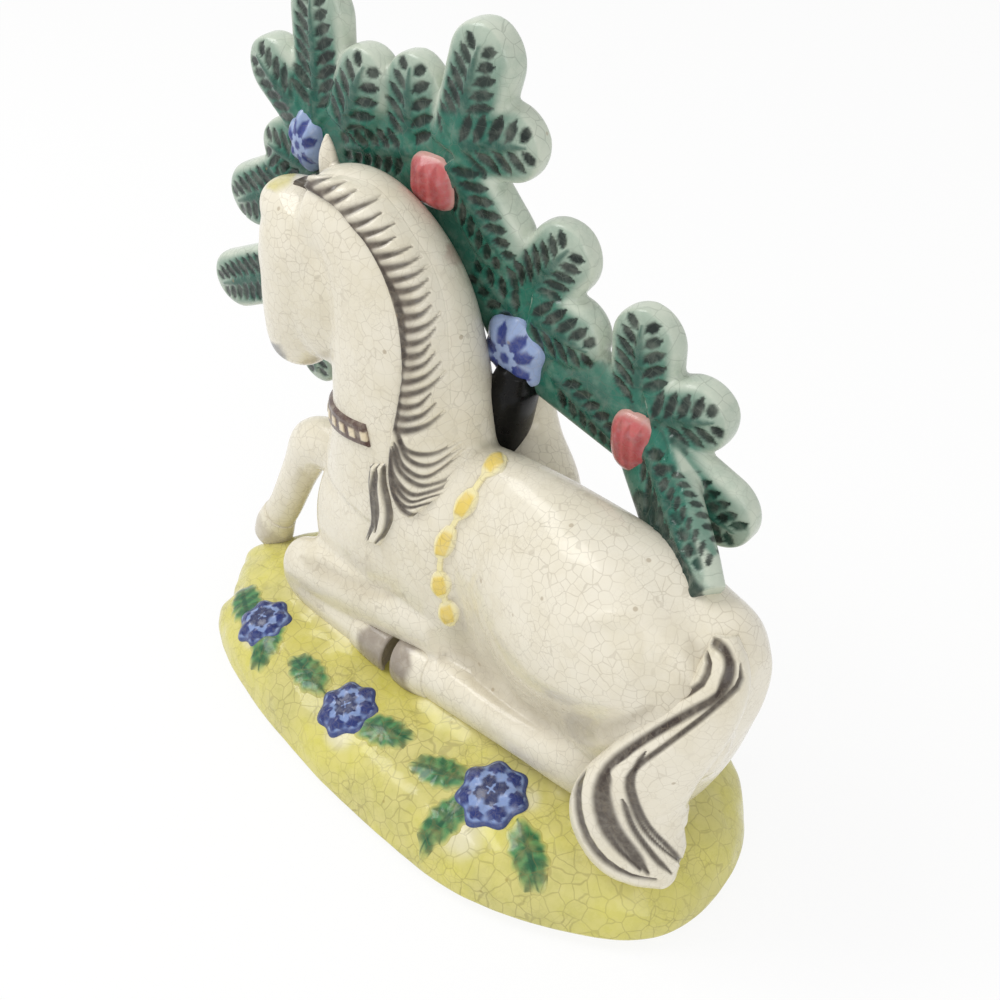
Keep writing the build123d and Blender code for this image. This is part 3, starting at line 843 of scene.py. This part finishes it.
def makeHoof(node, rows):
    sides, rings = 44, 26
    verts, faces = tube(rows, rings, sides)
    heel = np.array(rows[-1][:3], float)
    run = heel - np.array(rows[-2][:3], float)
    run /= np.linalg.norm(run)
    sole = []
    for shrink, sink in ((0.9, 0.35), (0.72, -0.5), (0.4, -1.1), (0.1, -1.3)):
        sole.append(heel + (verts[-sides:] - heel) * shrink + run * sink)
    verts = np.vstack([verts] + sole)
    faces = tubeFaces(rings + len(sole), sides)
    along = np.repeat(np.arange(rings + len(sole)), sides)
    paint = bare(len(verts))
    strength = 0.35 if node == "far_fore_hoof" else 0.85  # the raised hoof is hardly painted
    lay(paint, strength * smoothStep(6, 11, along + 2 * np.sin(verts[:, 1] * 1.7)), hooves["ink"])
    # the dished sole is painted pale: a painted highlight
    lay(paint, 0.6 * smoothStep(rings, rings + 2, along), hooves["soleHighlight"])
    piece(node.title().replace("_", ""), verts, faces, paint, bodyMaterial, "hoof_glaze", node)


for hoofNode in ("near_fore_hoof", "far_fore_hoof", "near_hind_hoof"):
    makeHoof(hoofNode, hooves[hoofNode])
makeHoof("far_hind_hoof", mirrored(hooves["near_hind_hoof"]))

# Horn: two strands twisted together
horn = {
    "root": (-46.6, 6.0, 106.0), "length": 12.0, "yaw": 24.0, "dip": 34.0,
    "radius": 2.2, "tip": 0.6, "turns": 1.7, "ink": ink(204, 194, 112),
}


def makeHorn():
    yaw, dip = math.radians(horn["yaw"]), math.radians(horn["dip"])
    run = np.array([-math.cos(yaw) * math.cos(dip), math.sin(yaw) * math.cos(dip), -math.sin(dip)])
    side = np.cross(run, (0, 0, 1))
    side /= np.linalg.norm(side)
    over = np.cross(side, run)
    rings, sides = 60, 40
    turn = np.linspace(0, 2 * math.pi, sides, endpoint=False)
    verts = []
    for row in range(rings):
        share = row / (rings - 1)
        radius = horn["radius"] + (horn["tip"] - horn["radius"]) * share
        radius *= min(1.0, 3.0 * math.sqrt(max(1.0 - share, 0.0)) + 0.1)
        radius *= math.sqrt(1.0 - 0.98 * max(0.0, 1.0 - share / 0.2) ** 2)  # round root
        lobe = radius * (0.86 + 0.14 * np.cos(2 * (turn - share * horn["turns"] * 2 * math.pi)))
        spot = np.array(horn["root"]) + run * horn["length"] * share
        verts.append(spot + np.outer(lobe * np.cos(turn), side) + np.outer(lobe * np.sin(turn), over))
    verts = np.vstack(verts)
    paint = bare(len(verts))
    lay(paint, np.full(len(verts), 0.8), horn["ink"])
    piece("hornTwist", verts, tubeFaces(rings, sides), paint, bodyMaterial, "horn_glaze", "horn")


makeHorn()

# Collar: strap round the throat with pale studs; it ends under the mane on the near side
collar = {
    "centre": np.array([-24.1, 6.9, 68.8]), "tilt": math.radians(13.3), "width": 5.4, "relief": 0.8,
    "far": math.radians(-118.0), "near": math.radians(128.0), "studGap": 3.4, "stud": 0.9,
    "ink": ink(66, 30, 23), "studInk": ink(230, 214, 182),
}


def makeCollar():
    rows, cols = 160, 21
    front = np.array([-math.cos(collar["tilt"]), 0, -math.sin(collar["tilt"])])
    near = np.array([0, -1.0, 0])
    over = np.array([-math.sin(collar["tilt"]), 0, math.cos(collar["tilt"])])
    spots, outs = [], []
    for angle in np.linspace(collar["far"], collar["near"], rows):
        out = front * math.cos(angle) + near * math.sin(angle)
        for lift in np.linspace(-0.5, 0.5, cols):
            core = collar["centre"] + over * lift * collar["width"]
            hit, _, _, _ = horseTree.ray_cast(Vector(core + out * 60), Vector(-out))
            spots.append(np.array(hit))
            outs.append(out)
    spots, outs = np.array(spots), np.array(outs)
    line = spots.reshape(rows, cols, 3)[:, cols // 2]
    run = np.concatenate([[0], np.cumsum(np.linalg.norm(np.diff(line, axis=0), axis=1))])
    along = np.repeat(run[-1] - run, cols)
    lift = np.tile(np.linspace(-0.5, 0.5, cols) * collar["width"], rows)
    phase = np.abs((along / collar["studGap"]) % 1.0 - 0.5) * collar["studGap"]
    stud = 1.0 - smoothStep(collar["stud"] * 0.8, collar["stud"] * 1.15, np.maximum(phase, np.abs(lift)))
    paint = bare(len(spots))
    lay(paint, np.full(len(spots), 0.97), collar["ink"])
    lay(paint, stud * 0.94, collar["studInk"])
    inside = edgeFade(rows, cols, 3)
    height = collar["relief"] * inside - 0.4 * (1 - inside) + 0.25 * stud
    reliefPiece("collarStrap", spots, outs, height, rows, cols, paint, bodyMaterial, "collar_glaze",
        "collar")


makeCollar()

# Girth chain: a line of photograph pixels, with each link's place on it and half length as shares
girth = {
    "path": [(509, 458), (491, 468), (466, 504), (445, 543), (440, 575), (446, 602), (453, 628)],
    "links": [(0.12, 0.089), (0.333, 0.06), (0.5, 0.072), (0.72, 0.075), (0.9, 0.075)],
    "narrow": 3.4, "wide": 12.5,
    "relief": 0.7, "ink": ink(242, 230, 168), "core": ink(230, 200, 84),
}


def makeGirth():
    rows, cols = 160, 25
    path = spline(girth["path"], rows)
    run = np.gradient(path, axis=0)
    side = np.stack([-run[:, 1], run[:, 0]], axis=1) / np.linalg.norm(run, axis=1)[:, None]
    share = np.linspace(0, 1, rows)
    swell = np.zeros(rows)
    for spot, span in girth["links"]:
        swell = np.maximum(swell, 1.0 - (np.abs(share - spot) / span) ** 1.5)
    half = girth["narrow"] + (girth["wide"] - girth["narrow"]) * np.sqrt(np.clip(swell, 0, 1))
    spots, outs = skinPatch(path - side * half[:, None], path + side * half[:, None], rows, cols)
    inside = edgeFade(rows, cols, 4)
    lobe = np.repeat(np.clip(swell, 0, 1), cols)
    across = np.abs(np.tile(np.linspace(-1, 1, cols), rows))
    core = smoothStep(0.25, 0.5, lobe) * (1.0 - smoothStep(0.42, 0.66, across))
    paint = bare(len(spots))
    lay(paint, 0.8 * inside, girth["ink"])
    lay(paint, 0.85 * core, girth["core"])
    height = girth["relief"] * inside * (0.6 + 0.4 * lobe) - 0.3 * (1 - inside) + 0.25 * core
    reliefPiece("girthLinks", spots, outs, height, rows, cols, paint, bodyMaterial, "girth_glaze",
        "girth_chain")


makeGirth()
print("horse dressed")

# Base mound
mound = {
    "halfLength": 67.5, "halfWidth": 34.5,
    "outline": [
        (-1.00, 0.08), (-0.98, -0.16), (-0.885, -0.40), (-0.85, -0.56), (-0.64, -0.75), (-0.30, -0.89),
        (0.12, -0.96), (0.48, -0.92), (0.78, -0.68), (0.95, -0.40), (1.00, 0.00), (0.93, 0.48),
        (0.70, 0.85), (0.25, 1.00), (-0.30, 1.00), (-0.75, 0.80),
    ],
    # drawn in, height
    "profile": [(2.0, 0.0), (0.2, 2.2), (0.0, 3.8), (1.7, 8.2), (6.1, 12.0), (13.3, 14.1), (22.0, 15.0)],
    "spokes": 400, "rings": 52, "inner": 14, "lump": 0.35,
    "wash": [(270, 620), (340, 650), (420, 720)], "washAndShadeInk": ink(190, 180, 78),
    "tailInk": ink(202, 196, 120), "skirtInk": ink(222, 212, 176),
    # pale cream patches: photograph pixel, reach
    "patches": [((338, 738), 14), ((462, 838), 22), ((530, 800), 12), ((252, 640), 10)],
    "patchInk": ink(226, 220, 192),
}


def lumps(points, size):
    # cheap smooth unevenness from a few crossed waves
    total = np.zeros(len(points))
    waves = np.random.default_rng(5)
    for _ in range(9):
        tilt = waves.normal(size=3)
        tilt /= np.linalg.norm(tilt) * size / (2 * math.pi)
        total += np.sin(points @ tilt + waves.uniform(0, 6.28))
    return total / 4.0


def makeMound():
    edge = ring(mound["outline"], mound["spokes"])
    profile = spline(mound["profile"], mound["rings"])
    rows = []
    for inset, height in profile:
        rows.append(np.column_stack([
            edge[:, 0] * (mound["halfLength"] - inset), edge[:, 1] * (mound["halfWidth"] - inset),
            np.full(len(edge), height),
        ]))
    crown = rows[-1]
    for step in range(1, mound["inner"] + 1):
        inner = crown.copy()
        inner[:, :2] *= 1.0 - step / (mound["inner"] + 0.5)
        rows.append(inner)
    verts = np.vstack(rows)
    faces = tubeFaces(len(rows), len(edge))
    normals = normalsOf(verts, faces)
    lifted = smoothStep(1.0, 6.0, verts[:, 2])
    verts = verts + normals * (mound["lump"] * lumps(verts, 16.0) * lifted)[:, None]
    verts = verts + normals * (0.12 * lumps(verts, 5.0) * lifted)[:, None]
    gap = np.array([horseTree.find_nearest(Vector(point))[3] for point in verts])
    verts[:, 2] += 1.1 * np.exp(-((gap / 1.8) ** 2)) * lifted
    limit = np.array([mound["halfLength"], mound["halfWidth"]])
    verts[:, :2] = np.clip(verts[:, :2], -limit, limit)
    paint = bare(len(verts))
    pixels = toPhoto(verts)
    # olive-yellow wash by the folded legs, darkened as painted shade near the hooves
    lay(paint, 0.5 * stroke(pixels, mound["wash"], 70, soft=0.9), mound["washAndShadeInk"])
    lay(paint, 0.35 * smoothStep(30, 62, verts[:, 0]), mound["tailInk"])
    lay(paint, 0.5 * np.exp(-((gap / 1.6) ** 2)), mound["skirtInk"])
    for spot, size in mound["patches"]:
        away = np.linalg.norm(pixels - np.array(spot), axis=1)
        lay(paint, 0.75 * (1 - smoothStep(size * 0.4, size * 1.3, away)), mound["patchInk"])
    piece("baseMound", verts, faces, paint, moundMaterial, "mound_glaze", "base_mound")
    return verts, faces


moundVerts, moundFaces = makeMound()
moundTree = treeOf(moundVerts, moundFaces)


def onMound(x, y):
    hit, normal, _, _ = moundTree.ray_cast(Vector((x, y, 60)), Vector((0, 0, -1)))
    if hit is None:  # past the rim: hang down its side
        hit, normal, _, _ = moundTree.find_nearest(Vector((x, y, 4)))
    return np.array(hit), np.array(normal)


# Flowers and leaves on the mound: place in millimetres, then each leaf's place and turn
ground = {
    "flowers": [
        ((-41.5, -17.3), [((-49.6, -15.9), 150), ((-37.1, -20.0), 300)]),
        ((-9.5, -21.4), [((-22.6, -20.7), 170), ((0.4, -20.7), 20)]),
        ((27.0, -17.3), [((15.9, -20.0), 200), ((23.3, -25.9), 260), ((39.8, -21.4), 330)]),
    ],
    "radius": 6.6, "sizes": (0.95, 1.0, 1.14), "relief": 2.2, "petals": 7, "leafLength": 7.2,
    "leafWidth": 3.9, "leafRelief": 0.7,
    "pale": ink(118, 144, 198), "cobalt": ink(14, 32, 104), "deep": ink(8, 20, 76),
    "green": ink(62, 132, 84), "vein": ink(24, 78, 52),
}


def applique(flat, heights):
    verts = []
    for (x, y), height in zip(flat, heights):
        hit, normal = onMound(x, y)
        verts.append(hit + normal * height)
    return np.array(verts)


def discPoints(rings, spokes, radiusAt):
    turn = np.linspace(0, 2 * math.pi, spokes, endpoint=False)
    radial, angle = [0.0], [0.0]
    for row in range(1, rings + 1):
        radial += [row / rings] * spokes
        angle += turn.tolist()
    radial, angle = np.array(radial), np.array(angle)
    reach = radial * radiusAt(angle)
    return radial, angle, np.column_stack([reach * np.cos(angle), reach * np.sin(angle)])


def discRim(rings, spokes):
    return list(range(1 + (rings - 1) * spokes, 1 + rings * spokes))


def appliquePiece(name, flat, height, rings, spokes, paint, material, slotName, node):
    # relief stuck on the mound, with its underside in the mound
    top, under = applique(flat, height), applique(flat, np.full(len(flat), -0.8))
    verts, faces = shell(top, under, discFaces(rings, spokes), discRim(rings, spokes))
    piece(name, verts, faces, np.vstack([paint, paint]), material, slotName, node)


def makeGroundFlower(index, centre):
    rings, spokes = 34, 112
    petals = ground["petals"]
    radius = ground["radius"] * ground["sizes"][index - 1]
    spin = index * 0.7
    radial, angle, flat = discPoints(
        rings, spokes, lambda turn: radius * (0.95 + 0.07 * np.cos(petals * (turn - spin)))
    )
    petal = 0.5 + 0.5 * np.cos(petals * (angle - spin))
    height = ground["relief"] * (1 - radial**3.2) * (0.78 + 0.22 * petal * smoothStep(0.25, 0.6, radial))
    height -= 0.5 * smoothStep(0.94, 1.0, radial)
    paint = bare(len(flat))
    lay(paint, np.full(len(flat), 0.9), ground["pale"])
    lay(paint, 0.8 * (1 - smoothStep(0.05, 0.11, np.abs(radial - 0.93))), ground["cobalt"])
    for count in range(petals):
        turn = spin + 2 * math.pi * count / petals
        out = np.array([math.cos(turn), math.sin(turn)])
        inner, outer = (0.46 + 0.1 * rng.random()), (0.74 + 0.1 * rng.random())
        blobPath = np.array([out * inner, out * (inner + outer) / 2, out * outer]) * radius
        lay(paint, 0.94 * stroke(flat, blobPath, 3.3 + 0.6 * rng.random(), 0.1, 0.2, 0.3), ground["cobalt"])
    for turn in (0.4, 1.9, 3.4, 4.9):
        out = np.array([math.cos(turn + spin), math.sin(turn + spin)])
        arm = np.array([out * 0.1, out * 0.25, out * 0.38]) * radius
        lay(paint, 0.94 * stroke(flat, arm, 2.7, 0.1, 0.2, 0.3), ground["deep"])
    appliquePiece(f"baseFlower{index}", flat + np.array(centre), height, rings, spokes, paint,
        bloomMaterial,
                  "ground_flower_glaze", f"base_flower_{index}")


def makeGroundLeaf(index, count, centre, turn):
    rings, spokes = 22, 96
    length, width = ground["leafLength"], ground["leafWidth"]

    def reach(angle):
        lens = length * width / np.hypot(width * np.cos(angle), length * np.sin(angle))
        return lens * (1 + 0.07 * np.sin(9 * angle))

    radial, _, flat = discPoints(rings, spokes, reach)
    height = ground["leafRelief"] * (1 - radial**2.5) - 0.3 * smoothStep(0.9, 1.0, radial)
    paint = bare(len(flat))
    lay(paint, 0.95 * (1 - smoothStep(0.62, 0.98, radial)), ground["green"])
    lay(paint, 0.9 * stroke(flat, [(-length * 0.9, 0), (0, 0.2), (length * 0.85, 0)], 1.0), ground["vein"])
    for place in (-0.45, -0.1, 0.25, 0.55):
        for side in (-1, 1):
            start = np.array([place * length, 0])
            end = start + np.array([0.22 * length, side * width * (0.75 - 0.3 * abs(place))])
            lay(paint, 0.7 * stroke(flat, [start, (start + end) / 2, end], 1.5), ground["vein"])
    spin = math.radians(turn)
    turned = np.column_stack([
        flat[:, 0] * math.cos(spin) - flat[:, 1] * math.sin(spin),
        flat[:, 0] * math.sin(spin) + flat[:, 1] * math.cos(spin),
    ])
    appliquePiece(f"baseLeaf{index}{count}", turned + np.array(centre), height, rings, spokes, paint,
                  moundMaterial, "ground_leaf_glaze", f"base_leaf_{index}_{count}")


for flowerIndex, (flowerPlace, leafPlaces) in enumerate(ground["flowers"], 1):
    makeGroundFlower(flowerIndex, flowerPlace)
    for leafIndex, (leafPlace, leafTurn) in enumerate(leafPlaces, 1):
        makeGroundLeaf(flowerIndex, leafIndex, leafPlace, leafTurn)
print("base dressed")

# Bocage: a leafy screen; places across and up its front plane, root then tip, with each leaf's width
bocage = {
    "setBack": 15.5, "turn": math.radians(2.9), "thickness": 7.0,
    "leaves": [
        ((-64.5, 77.6), (-85.3, 67.5), 13.0), ((-56, 100.5), (-74, 91.4), 13.4),
        ((-46, 104.5), (-63.6, 108), 12.9),
        ((-47, 114), (-61.8, 127), 12.9), ((-46, 118), (-44.8, 141.8), 13.4),
        ((-38.5, 117), (-31, 132), 12.9),
        ((-23.5, 118), (-22, 134), 12.9), ((-12, 120), (-5, 142.7), 13.4), ((-11, 122), (4.5, 125.5), 13.4),
        ((-13.5, 118), (0.5, 102), 12.9), ((1, 96), (13.5, 112.5), 13.4), ((4.5, 95.5), (19, 93), 13.4),
        ((27.5, 86), (27, 104.5), 13.4), ((31, 85.5), (44.5, 91.5), 13.4),
        ((33.5, 79.0), (52.6, 71.6), 14.4),
        ((-55.5, 78.8), (-52.5, 56), 11.2),
    ],
    "forward": {14: 3.0},
    # fronds painted where the ribbon crosses
    "inner": [
        ((-24, 116.5), (-41, 113), 9.0), ((11, 84), (26, 76), 9.0), ((1.7, 94), (-9.6, 99.4), 9.0),
        ((31, 80.5), (50, 72), 9.0),
    ],
    # across, up, forward of the screen
    "branch": [
        (-59.4, 81.8, 0), (-48.2, 112.4, 0), (-17, 115.3, 0), (2.6, 87.6, 0), (28.3, 80, 0),
        (46.0, 70.4, 13.0),
    ],
    "branchWidth": 17.0, "footWidth": 14.0, "voxel": 0.4, "rounds": 6, "squareness": 3.4,
    "shade": [(640, 508), (648, 534), (664, 560), (676, 582), (690, 598)], "shadeWidth": 40,
    "footFrond": [(668, 476), (690, 510), (714, 552)], "footLine": [(690, 600), (712, 600), (735, 597)],
    "teal": ink(34, 108, 90), "deep": ink(12, 74, 62), "leaflet": ink(7, 24, 20), "dark": ink(10, 42, 36),
}
bocageAcross = np.array([math.cos(bocage["turn"]), math.sin(bocage["turn"]), 0])
bocageFront = np.array([math.sin(bocage["turn"]), -math.cos(bocage["turn"]), 0])
bocageHome = np.array([0, bocage["setBack"], 0])


def onBocage(across, up, out=0.0):
    return bocageHome + bocageAcross * across + np.array([0, 0, up]) + bocageFront * out


def lobe(root, tip, width, thickness, recess, forward=0.0):
    # fat rounded leaf: flat section that closes in a round tip
    root, tip = np.array(root, float), np.array(tip, float)
    length = np.linalg.norm(tip - root)
    run = (tip - root) / length
    half = width / 2
    rows = []
    for share in np.concatenate([np.linspace(0, 0.6, 5), 1 - 0.4 * np.linspace(1, 0, 14)[1:] ** 1.6]):
        at = share * length
        past = max(0.0, at - (length - half)) / half
        close = math.sqrt(max(1.0 - past**2, 0.0))
        spot = onBocage(*(root + run * at), forward - (thickness + recess) / 2)
        rows.append((*spot, max(half * close, 0.3),
            max((thickness - recess) / 2 * (0.55 + 0.45 * close), 0.3)))
    across = np.cross(bocageFront, onBocage(*run) - bocageHome)
    return tube(rows, 40, 44, across, bocage["squareness"])


# how the ribbon's stretches end: distance past the end point, share of the width left there
ribbonEnds = {
    "round": ((0, 1.0), (3, 0.93), (6, 0.7), (8.3, 0.15)),
    "blunt": ((0, 1.0), (3, 0.97), (6, 0.9), (8.3, 0.85)),
    "sunk": 4.0, "halfDepth": 3.0,
}


def ribbon(start, end, startHalf, endHalf, ending):
    # stretch of the branch between two points: its start is round
    start, end = np.array(start, float), np.array(end, float)
    run = (end - start) / np.linalg.norm(end - start)
    stations = [(start - run * reach, startHalf, size) for reach, size in reversed(ribbonEnds["round"])]
    stations += [(end + run * reach, endHalf, size) for reach, size in ribbonEnds[ending]]
    rows = []
    for (across, up, out), half, size in stations:
        spot = onBocage(across, up, out - ribbonEnds["sunk"])
        rows.append((*spot, half * size, ribbonEnds["halfDepth"] * size**0.5))
    along = onBocage(*end) - onBocage(*start)
    return tube(rows, 50, 44, np.cross(bocageFront, along), bocage["squareness"])


def shapeBocage():
    shells = []
    for index, (root, tip, width) in enumerate(bocage["leaves"]):
        recess, forward = 1.2 * ((index + 1) % 2), bocage["forward"].get(index, 0.0)
        shells.append(lobe(root, tip, width, bocage["thickness"], recess, forward))
    half = bocage["branchWidth"] / 2
    points = bocage["branch"]
    for start, end in zip(points[:-2], points[1:-1]):
        shells.append(ribbon(start, end, half, half, "round"))
    shells.append(ribbon(points[-2], points[-1], half, bocage["footWidth"] / 2, "blunt"))
    return fuse(shells, bocage["voxel"], bocage["rounds"])


def paintBocage(verts, normals):
    flat = np.column_stack([(verts - bocageHome) @ bocageAcross, verts[:, 2]])
    front = smoothStep(0.45, 0.85, normals @ bocageFront)
    paint = bare(len(verts))
    depth = np.zeros(len(verts))
    wash = np.array([point[:2] for point in bocage["branch"][:-1]] + [(35.0, 77.0)])
    gap, _ = nearLine(flat, wash)
    lay(paint, 0.92 * smoothStep(0.1, 0.7, normals @ bocageFront) * (1 - smoothStep(6.5, 11.0, gap)),
        bocage["teal"])
    lay(paint, 0.6 * front * (1 - smoothStep(2.0, 7.5, gap)), bocage["deep"])
    for root, tip, width in bocage["leaves"] + bocage["inner"]:
        root, tip = np.array(root, float), np.array(tip, float)
        length = np.linalg.norm(tip - root)
        run = (tip - root) / length
        cross = np.array([-run[1], run[0]])
        along, aside = (flat - root) @ run, (flat - root) @ cross
        near = (np.abs(aside) < width * 0.7) & (along > -3) & (along < length + 2)
        spots = np.column_stack([along, aside])[near]
        face = front[near]
        part, dent = paint[near], depth[near]
        fade = 1 - 0.75 * smoothStep(0.45 * length, 1.0 * length, spots[:, 0])
        blade = 1 - smoothStep(width * 0.33, width * 0.47, np.abs(spots[:, 1]))
        lay(part, 0.92 * face * blade * fade, bocage["teal"])
        rib = stroke(spots, [(-1, 0), (length * 0.5, 0.2), (length * 0.86, 0)], 2.4, 0.05, 0.6)
        lay(part, 0.8 * face * rib, bocage["deep"])
        pairs = max(4, int(length / 2.8))
        for count in range(pairs):
            place = length * (0.06 + 0.76 * count / (pairs - 1))
            shape = 1.0 - 0.5 * (count / (pairs - 1)) ** 2
            for side in (-1, 1):
                start = np.array([place, side * 0.9])
                reach = width * 0.32 * shape + 0.3 * rng.random()
                end = start + np.array([reach * 0.75, side * reach])
                mark = stroke(spots, [start, (start + end) / 2 + np.array([0.2, 0]), end], 1.85, 0.25,
                    0.3, 0.3)
                lay(part, (0.9 + 0.1 * rng.random()) * face * mark, bocage["leaflet"])
                dent = np.maximum(dent, face * mark)
        dent = dent - 0.9 * face * rib
        paint[near], depth[near] = part, dent
    pixels = toPhoto(verts)
    # painted shade: the foot's left side, turned away from the light, painted dark green
    ragged = bocage["shadeWidth"] * (1.0 + 0.25 * lumps(verts, 4.0))
    gap, _ = nearLine(pixels, spline(bocage["shade"], 20))
    lay(paint, 0.92 * (1 - smoothStep(0.35, 0.5, gap / ragged)) * (normals @ viewBack > -0.1),
        bocage["dark"])
    seen = normals @ viewBack > 0.05
    axis = spline(bocage["footFrond"], 8)
    lay(paint, 0.75 * seen * stroke(pixels, bocage["footFrond"], 30, 0.1, 0.4, 0.6), bocage["teal"])
    for place, run in zip(axis, np.gradient(axis, axis=0)):
        run = run / np.linalg.norm(run)
        for side in (-1, 1):
            aside = np.array([-run[1], run[0]]) * side
            mark = [place + aside * 3, place + aside * 8 + run * 4, place + aside * 13 + run * 10]
            lay(paint, 0.92 * seen * stroke(pixels, mark, 6.5, 0.2, 0.3, 0.3), bocage["leaflet"])
    lay(paint, 0.85 * seen * stroke(pixels, bocage["footLine"], 5, 0.1, 0.1), bocage["dark"])
    return paint, depth


def makeBocage():
    verts, faces = shapeBocage()
    normals = normalsOf(verts, faces)
    paint, depth = paintBocage(verts, normals)
    verts = verts - normals * (0.3 * depth)[:, None]
    nodes = [f"branch_{index}" for index in range(1, 6)] + [f"leaf_{index:02d}" for index in range(1, 17)]
    piece("bocageScreen", verts, faces, paint, leafMaterial, "foliage_glaze", *nodes)


makeBocage()

# Flowers on the screen: place across and up, colour, size across and up
bloom = {
    "places": [
        (-48.6, 112.0, "blue", 0.75, 1.05), (-17, 113.6, "red", 1.0, 0.95), (1.2, 86.6, "blue", 1.2, 1.3),
        (28.3, 79.2, "red", 0.98, 1.2),
    ],
    "radius": 6.0, "relief": 3.4, "petals": 6,
    "blue": ink(146, 166, 206), "blueInk": ink(26, 42, 122),
    "red": ink(188, 80, 78), "redInk": ink(142, 36, 40), "rim": ink(212, 168, 156),
}


def makeBloom(index, across, up, tone, wide, tall):
    rings, spokes = 34, 112
    petals = bloom["petals"] if tone == "blue" else 4

    def outline(turn):
        if tone == "blue":
            return bloom["radius"] * (0.95 + 0.06 * np.cos(petals * (turn - 0.8) + index))
        return bloom["radius"] * 0.9 * (np.abs(np.cos(turn)) ** 3 + np.abs(np.sin(turn)) ** 3) ** -0.33

    radial, angle, flat = discPoints(rings, spokes, outline)
    petal = 0.5 + 0.5 * np.cos(petals * (angle - 0.8) + index)
    height = bloom["relief"] * (1 - radial**2.6) * (0.85 + 0.15 * petal * smoothStep(0.3, 0.6, radial))
    height += -0.8 - 1.2 * smoothStep(0.93, 1.0, radial)
    paint = bare(len(flat))
    lay(paint, np.full(len(flat), 0.94), bloom[tone])
    if tone == "red":
        lay(paint, 0.8 * smoothStep(0.8, 0.95, radial), bloom["rim"])
        for aside in (-2.4, -0.4, 1.9):
            start = np.array([aside, 3.4 + 0.6 * rng.random()])
            end = np.array([aside + 0.5, -3.0 - rng.random()])
            lay(paint, 0.5 * stroke(flat, [start, (start + end) / 2, end], 1.6, 0.2, 0.4, 0.6),
                bloom["redInk"])
    else:
        for count in range(petals + 1):
            turn = 2 * math.pi * (count / (petals + 1) + 0.05 * rng.random())
            out = np.array([math.cos(turn), math.sin(turn)])
            path = np.array([out * 0.32, out * 0.52, out * 0.76]) * bloom["radius"]
            lay(paint, 0.92 * stroke(flat, path, 1.9, 0.1, 0.2, 0.35), bloom["blueInk"])
        lay(paint, 0.9 * (1 - smoothStep(0.1, 0.2, radial)), bloom["blueInk"])
    stretched = flat * np.array([wide, tall])
    top = np.array([onBocage(across + x, up + y, out) for (x, y), out in zip(stretched, height)])
    under = np.array([onBocage(across + x, up + y, -2.5) for x, y in stretched])
    verts, faces = shell(top, under, discFaces(rings, spokes), discRim(rings, spokes))
    piece(f"bocageFlower{index}", verts, faces, np.vstack([paint, paint]), bloomMaterial,
          f"{tone}_flower_glaze", f"bocage_flower_{index}")


for bloomIndex, bloomPlace in enumerate(bloom["places"], 1):
    makeBloom(bloomIndex, *bloomPlace)

# Trunk: black stub on the screen's front, between the neck and the prop
trunk = {"top": (2.4, 84.0), "foot": (-1.6, 64.6), "half": 4.6, "proud": 5.0}


def makeTrunk():
    top, foot = np.array(trunk["top"]), np.array(trunk["foot"])
    rows = []
    for share, size in ((0, 0.7), (0.15, 0.85), (0.3, 1), (0.8, 1), (0.92, 0.96), (0.975, 0.8), (1, 0.3)):
        rows.append((*onBocage(*(top + (foot - top) * share), -0.2), trunk["half"] * size,
            trunk["proud"] * size))
    verts, faces = tube(rows, 70, 48, bocageAcross, 2.4)
    piece("trunkStub", verts, faces, bare(len(verts)), trunkMaterial, "trunk_glaze", "trunk")


makeTrunk()
print("bocage dressed")


# Stage: white sweep, soft light
studio = {
    "floor": ink(250, 250, 249), "floorReach": 4.0, "glow": 0.88, "world": 0.62,
    # name, place in metres, power in watts
    "lamps": [("keySoftbox", (-0.34, -0.16, 0.56), 1.9), ("fillSoftbox", (0.45, -0.30, 0.30), 0.75)],
    "softbox": 0.3, "aim": (0, 0, 0.05),
}


def seenDirectly(start):
    path = start.node("ShaderNodeLightPath", out="Is Camera Ray")
    bounced = path.maths("MAXIMUM", path.also("Is Glossy Ray"), path.also("Is Transmission Ray"))
    return path.maths("MAXIMUM", path, bounced)


def makeStage():
    mesh = bpy.data.meshes.new("floor")
    far = studio["floorReach"]
    mesh.from_pydata([(-far, -far, 0), (far, -far, 0), (far, far, 0), (-far, far, 0)], [], [(0, 1, 2, 3)])
    floor = bpy.data.objects.new("floor", mesh)
    bpy.context.scene.collection.objects.link(floor)
    material = bpy.data.materials.new("paperSweep")
    material.use_nodes = True
    material.node_tree.nodes.clear()
    start = Tap(material.node_tree)
    paper = start.node("ShaderNodeBsdfPrincipled", None, {
        "Base Color": shade(studio["floor"]), "Roughness": 0.7, "Specular IOR Level": 0.1,
    })
    glow = start.node("ShaderNodeEmission", None, {"Color": (1, 1, 1, 1), "Strength": 1.0})
    share = seenDirectly(start) * studio["glow"]
    sweep = start.node("ShaderNodeMixShader", None, {0: share, 1: paper, 2: glow})
    start.node("ShaderNodeOutputMaterial", None, {"Surface": sweep})
    mesh.materials.append(material)


def makeLights():
    world = bpy.data.worlds.new("studioWorld")
    bpy.context.scene.world = world
    world.use_nodes = True
    tree = world.node_tree
    tree.nodes.clear()
    start = Tap(tree)
    strength = studio["world"] + (1.0 - studio["world"]) * seenDirectly(start)
    sky = start.node("ShaderNodeBackground", None, {"Color": (1, 1, 1, 1), "Strength": strength})
    start.node("ShaderNodeOutputWorld", None, {"Surface": sky})
    for name, place, power in studio["lamps"]:
        data = bpy.data.lights.new(name, "AREA")
        data.shape = "RECTANGLE"
        data.size = data.size_y = studio["softbox"]
        data.energy = power
        lamp = bpy.data.objects.new(name, data)
        aim = Vector(studio["aim"]) - Vector(place)
        lamp.location = place
        lamp.rotation_euler = aim.to_track_quat("-Z", "Y").to_euler()
        bpy.context.scene.collection.objects.link(lamp)


makeCamera()
makeStage()
makeLights()
bpy.context.scene.view_settings.view_transform = "Standard"
print("stage set")
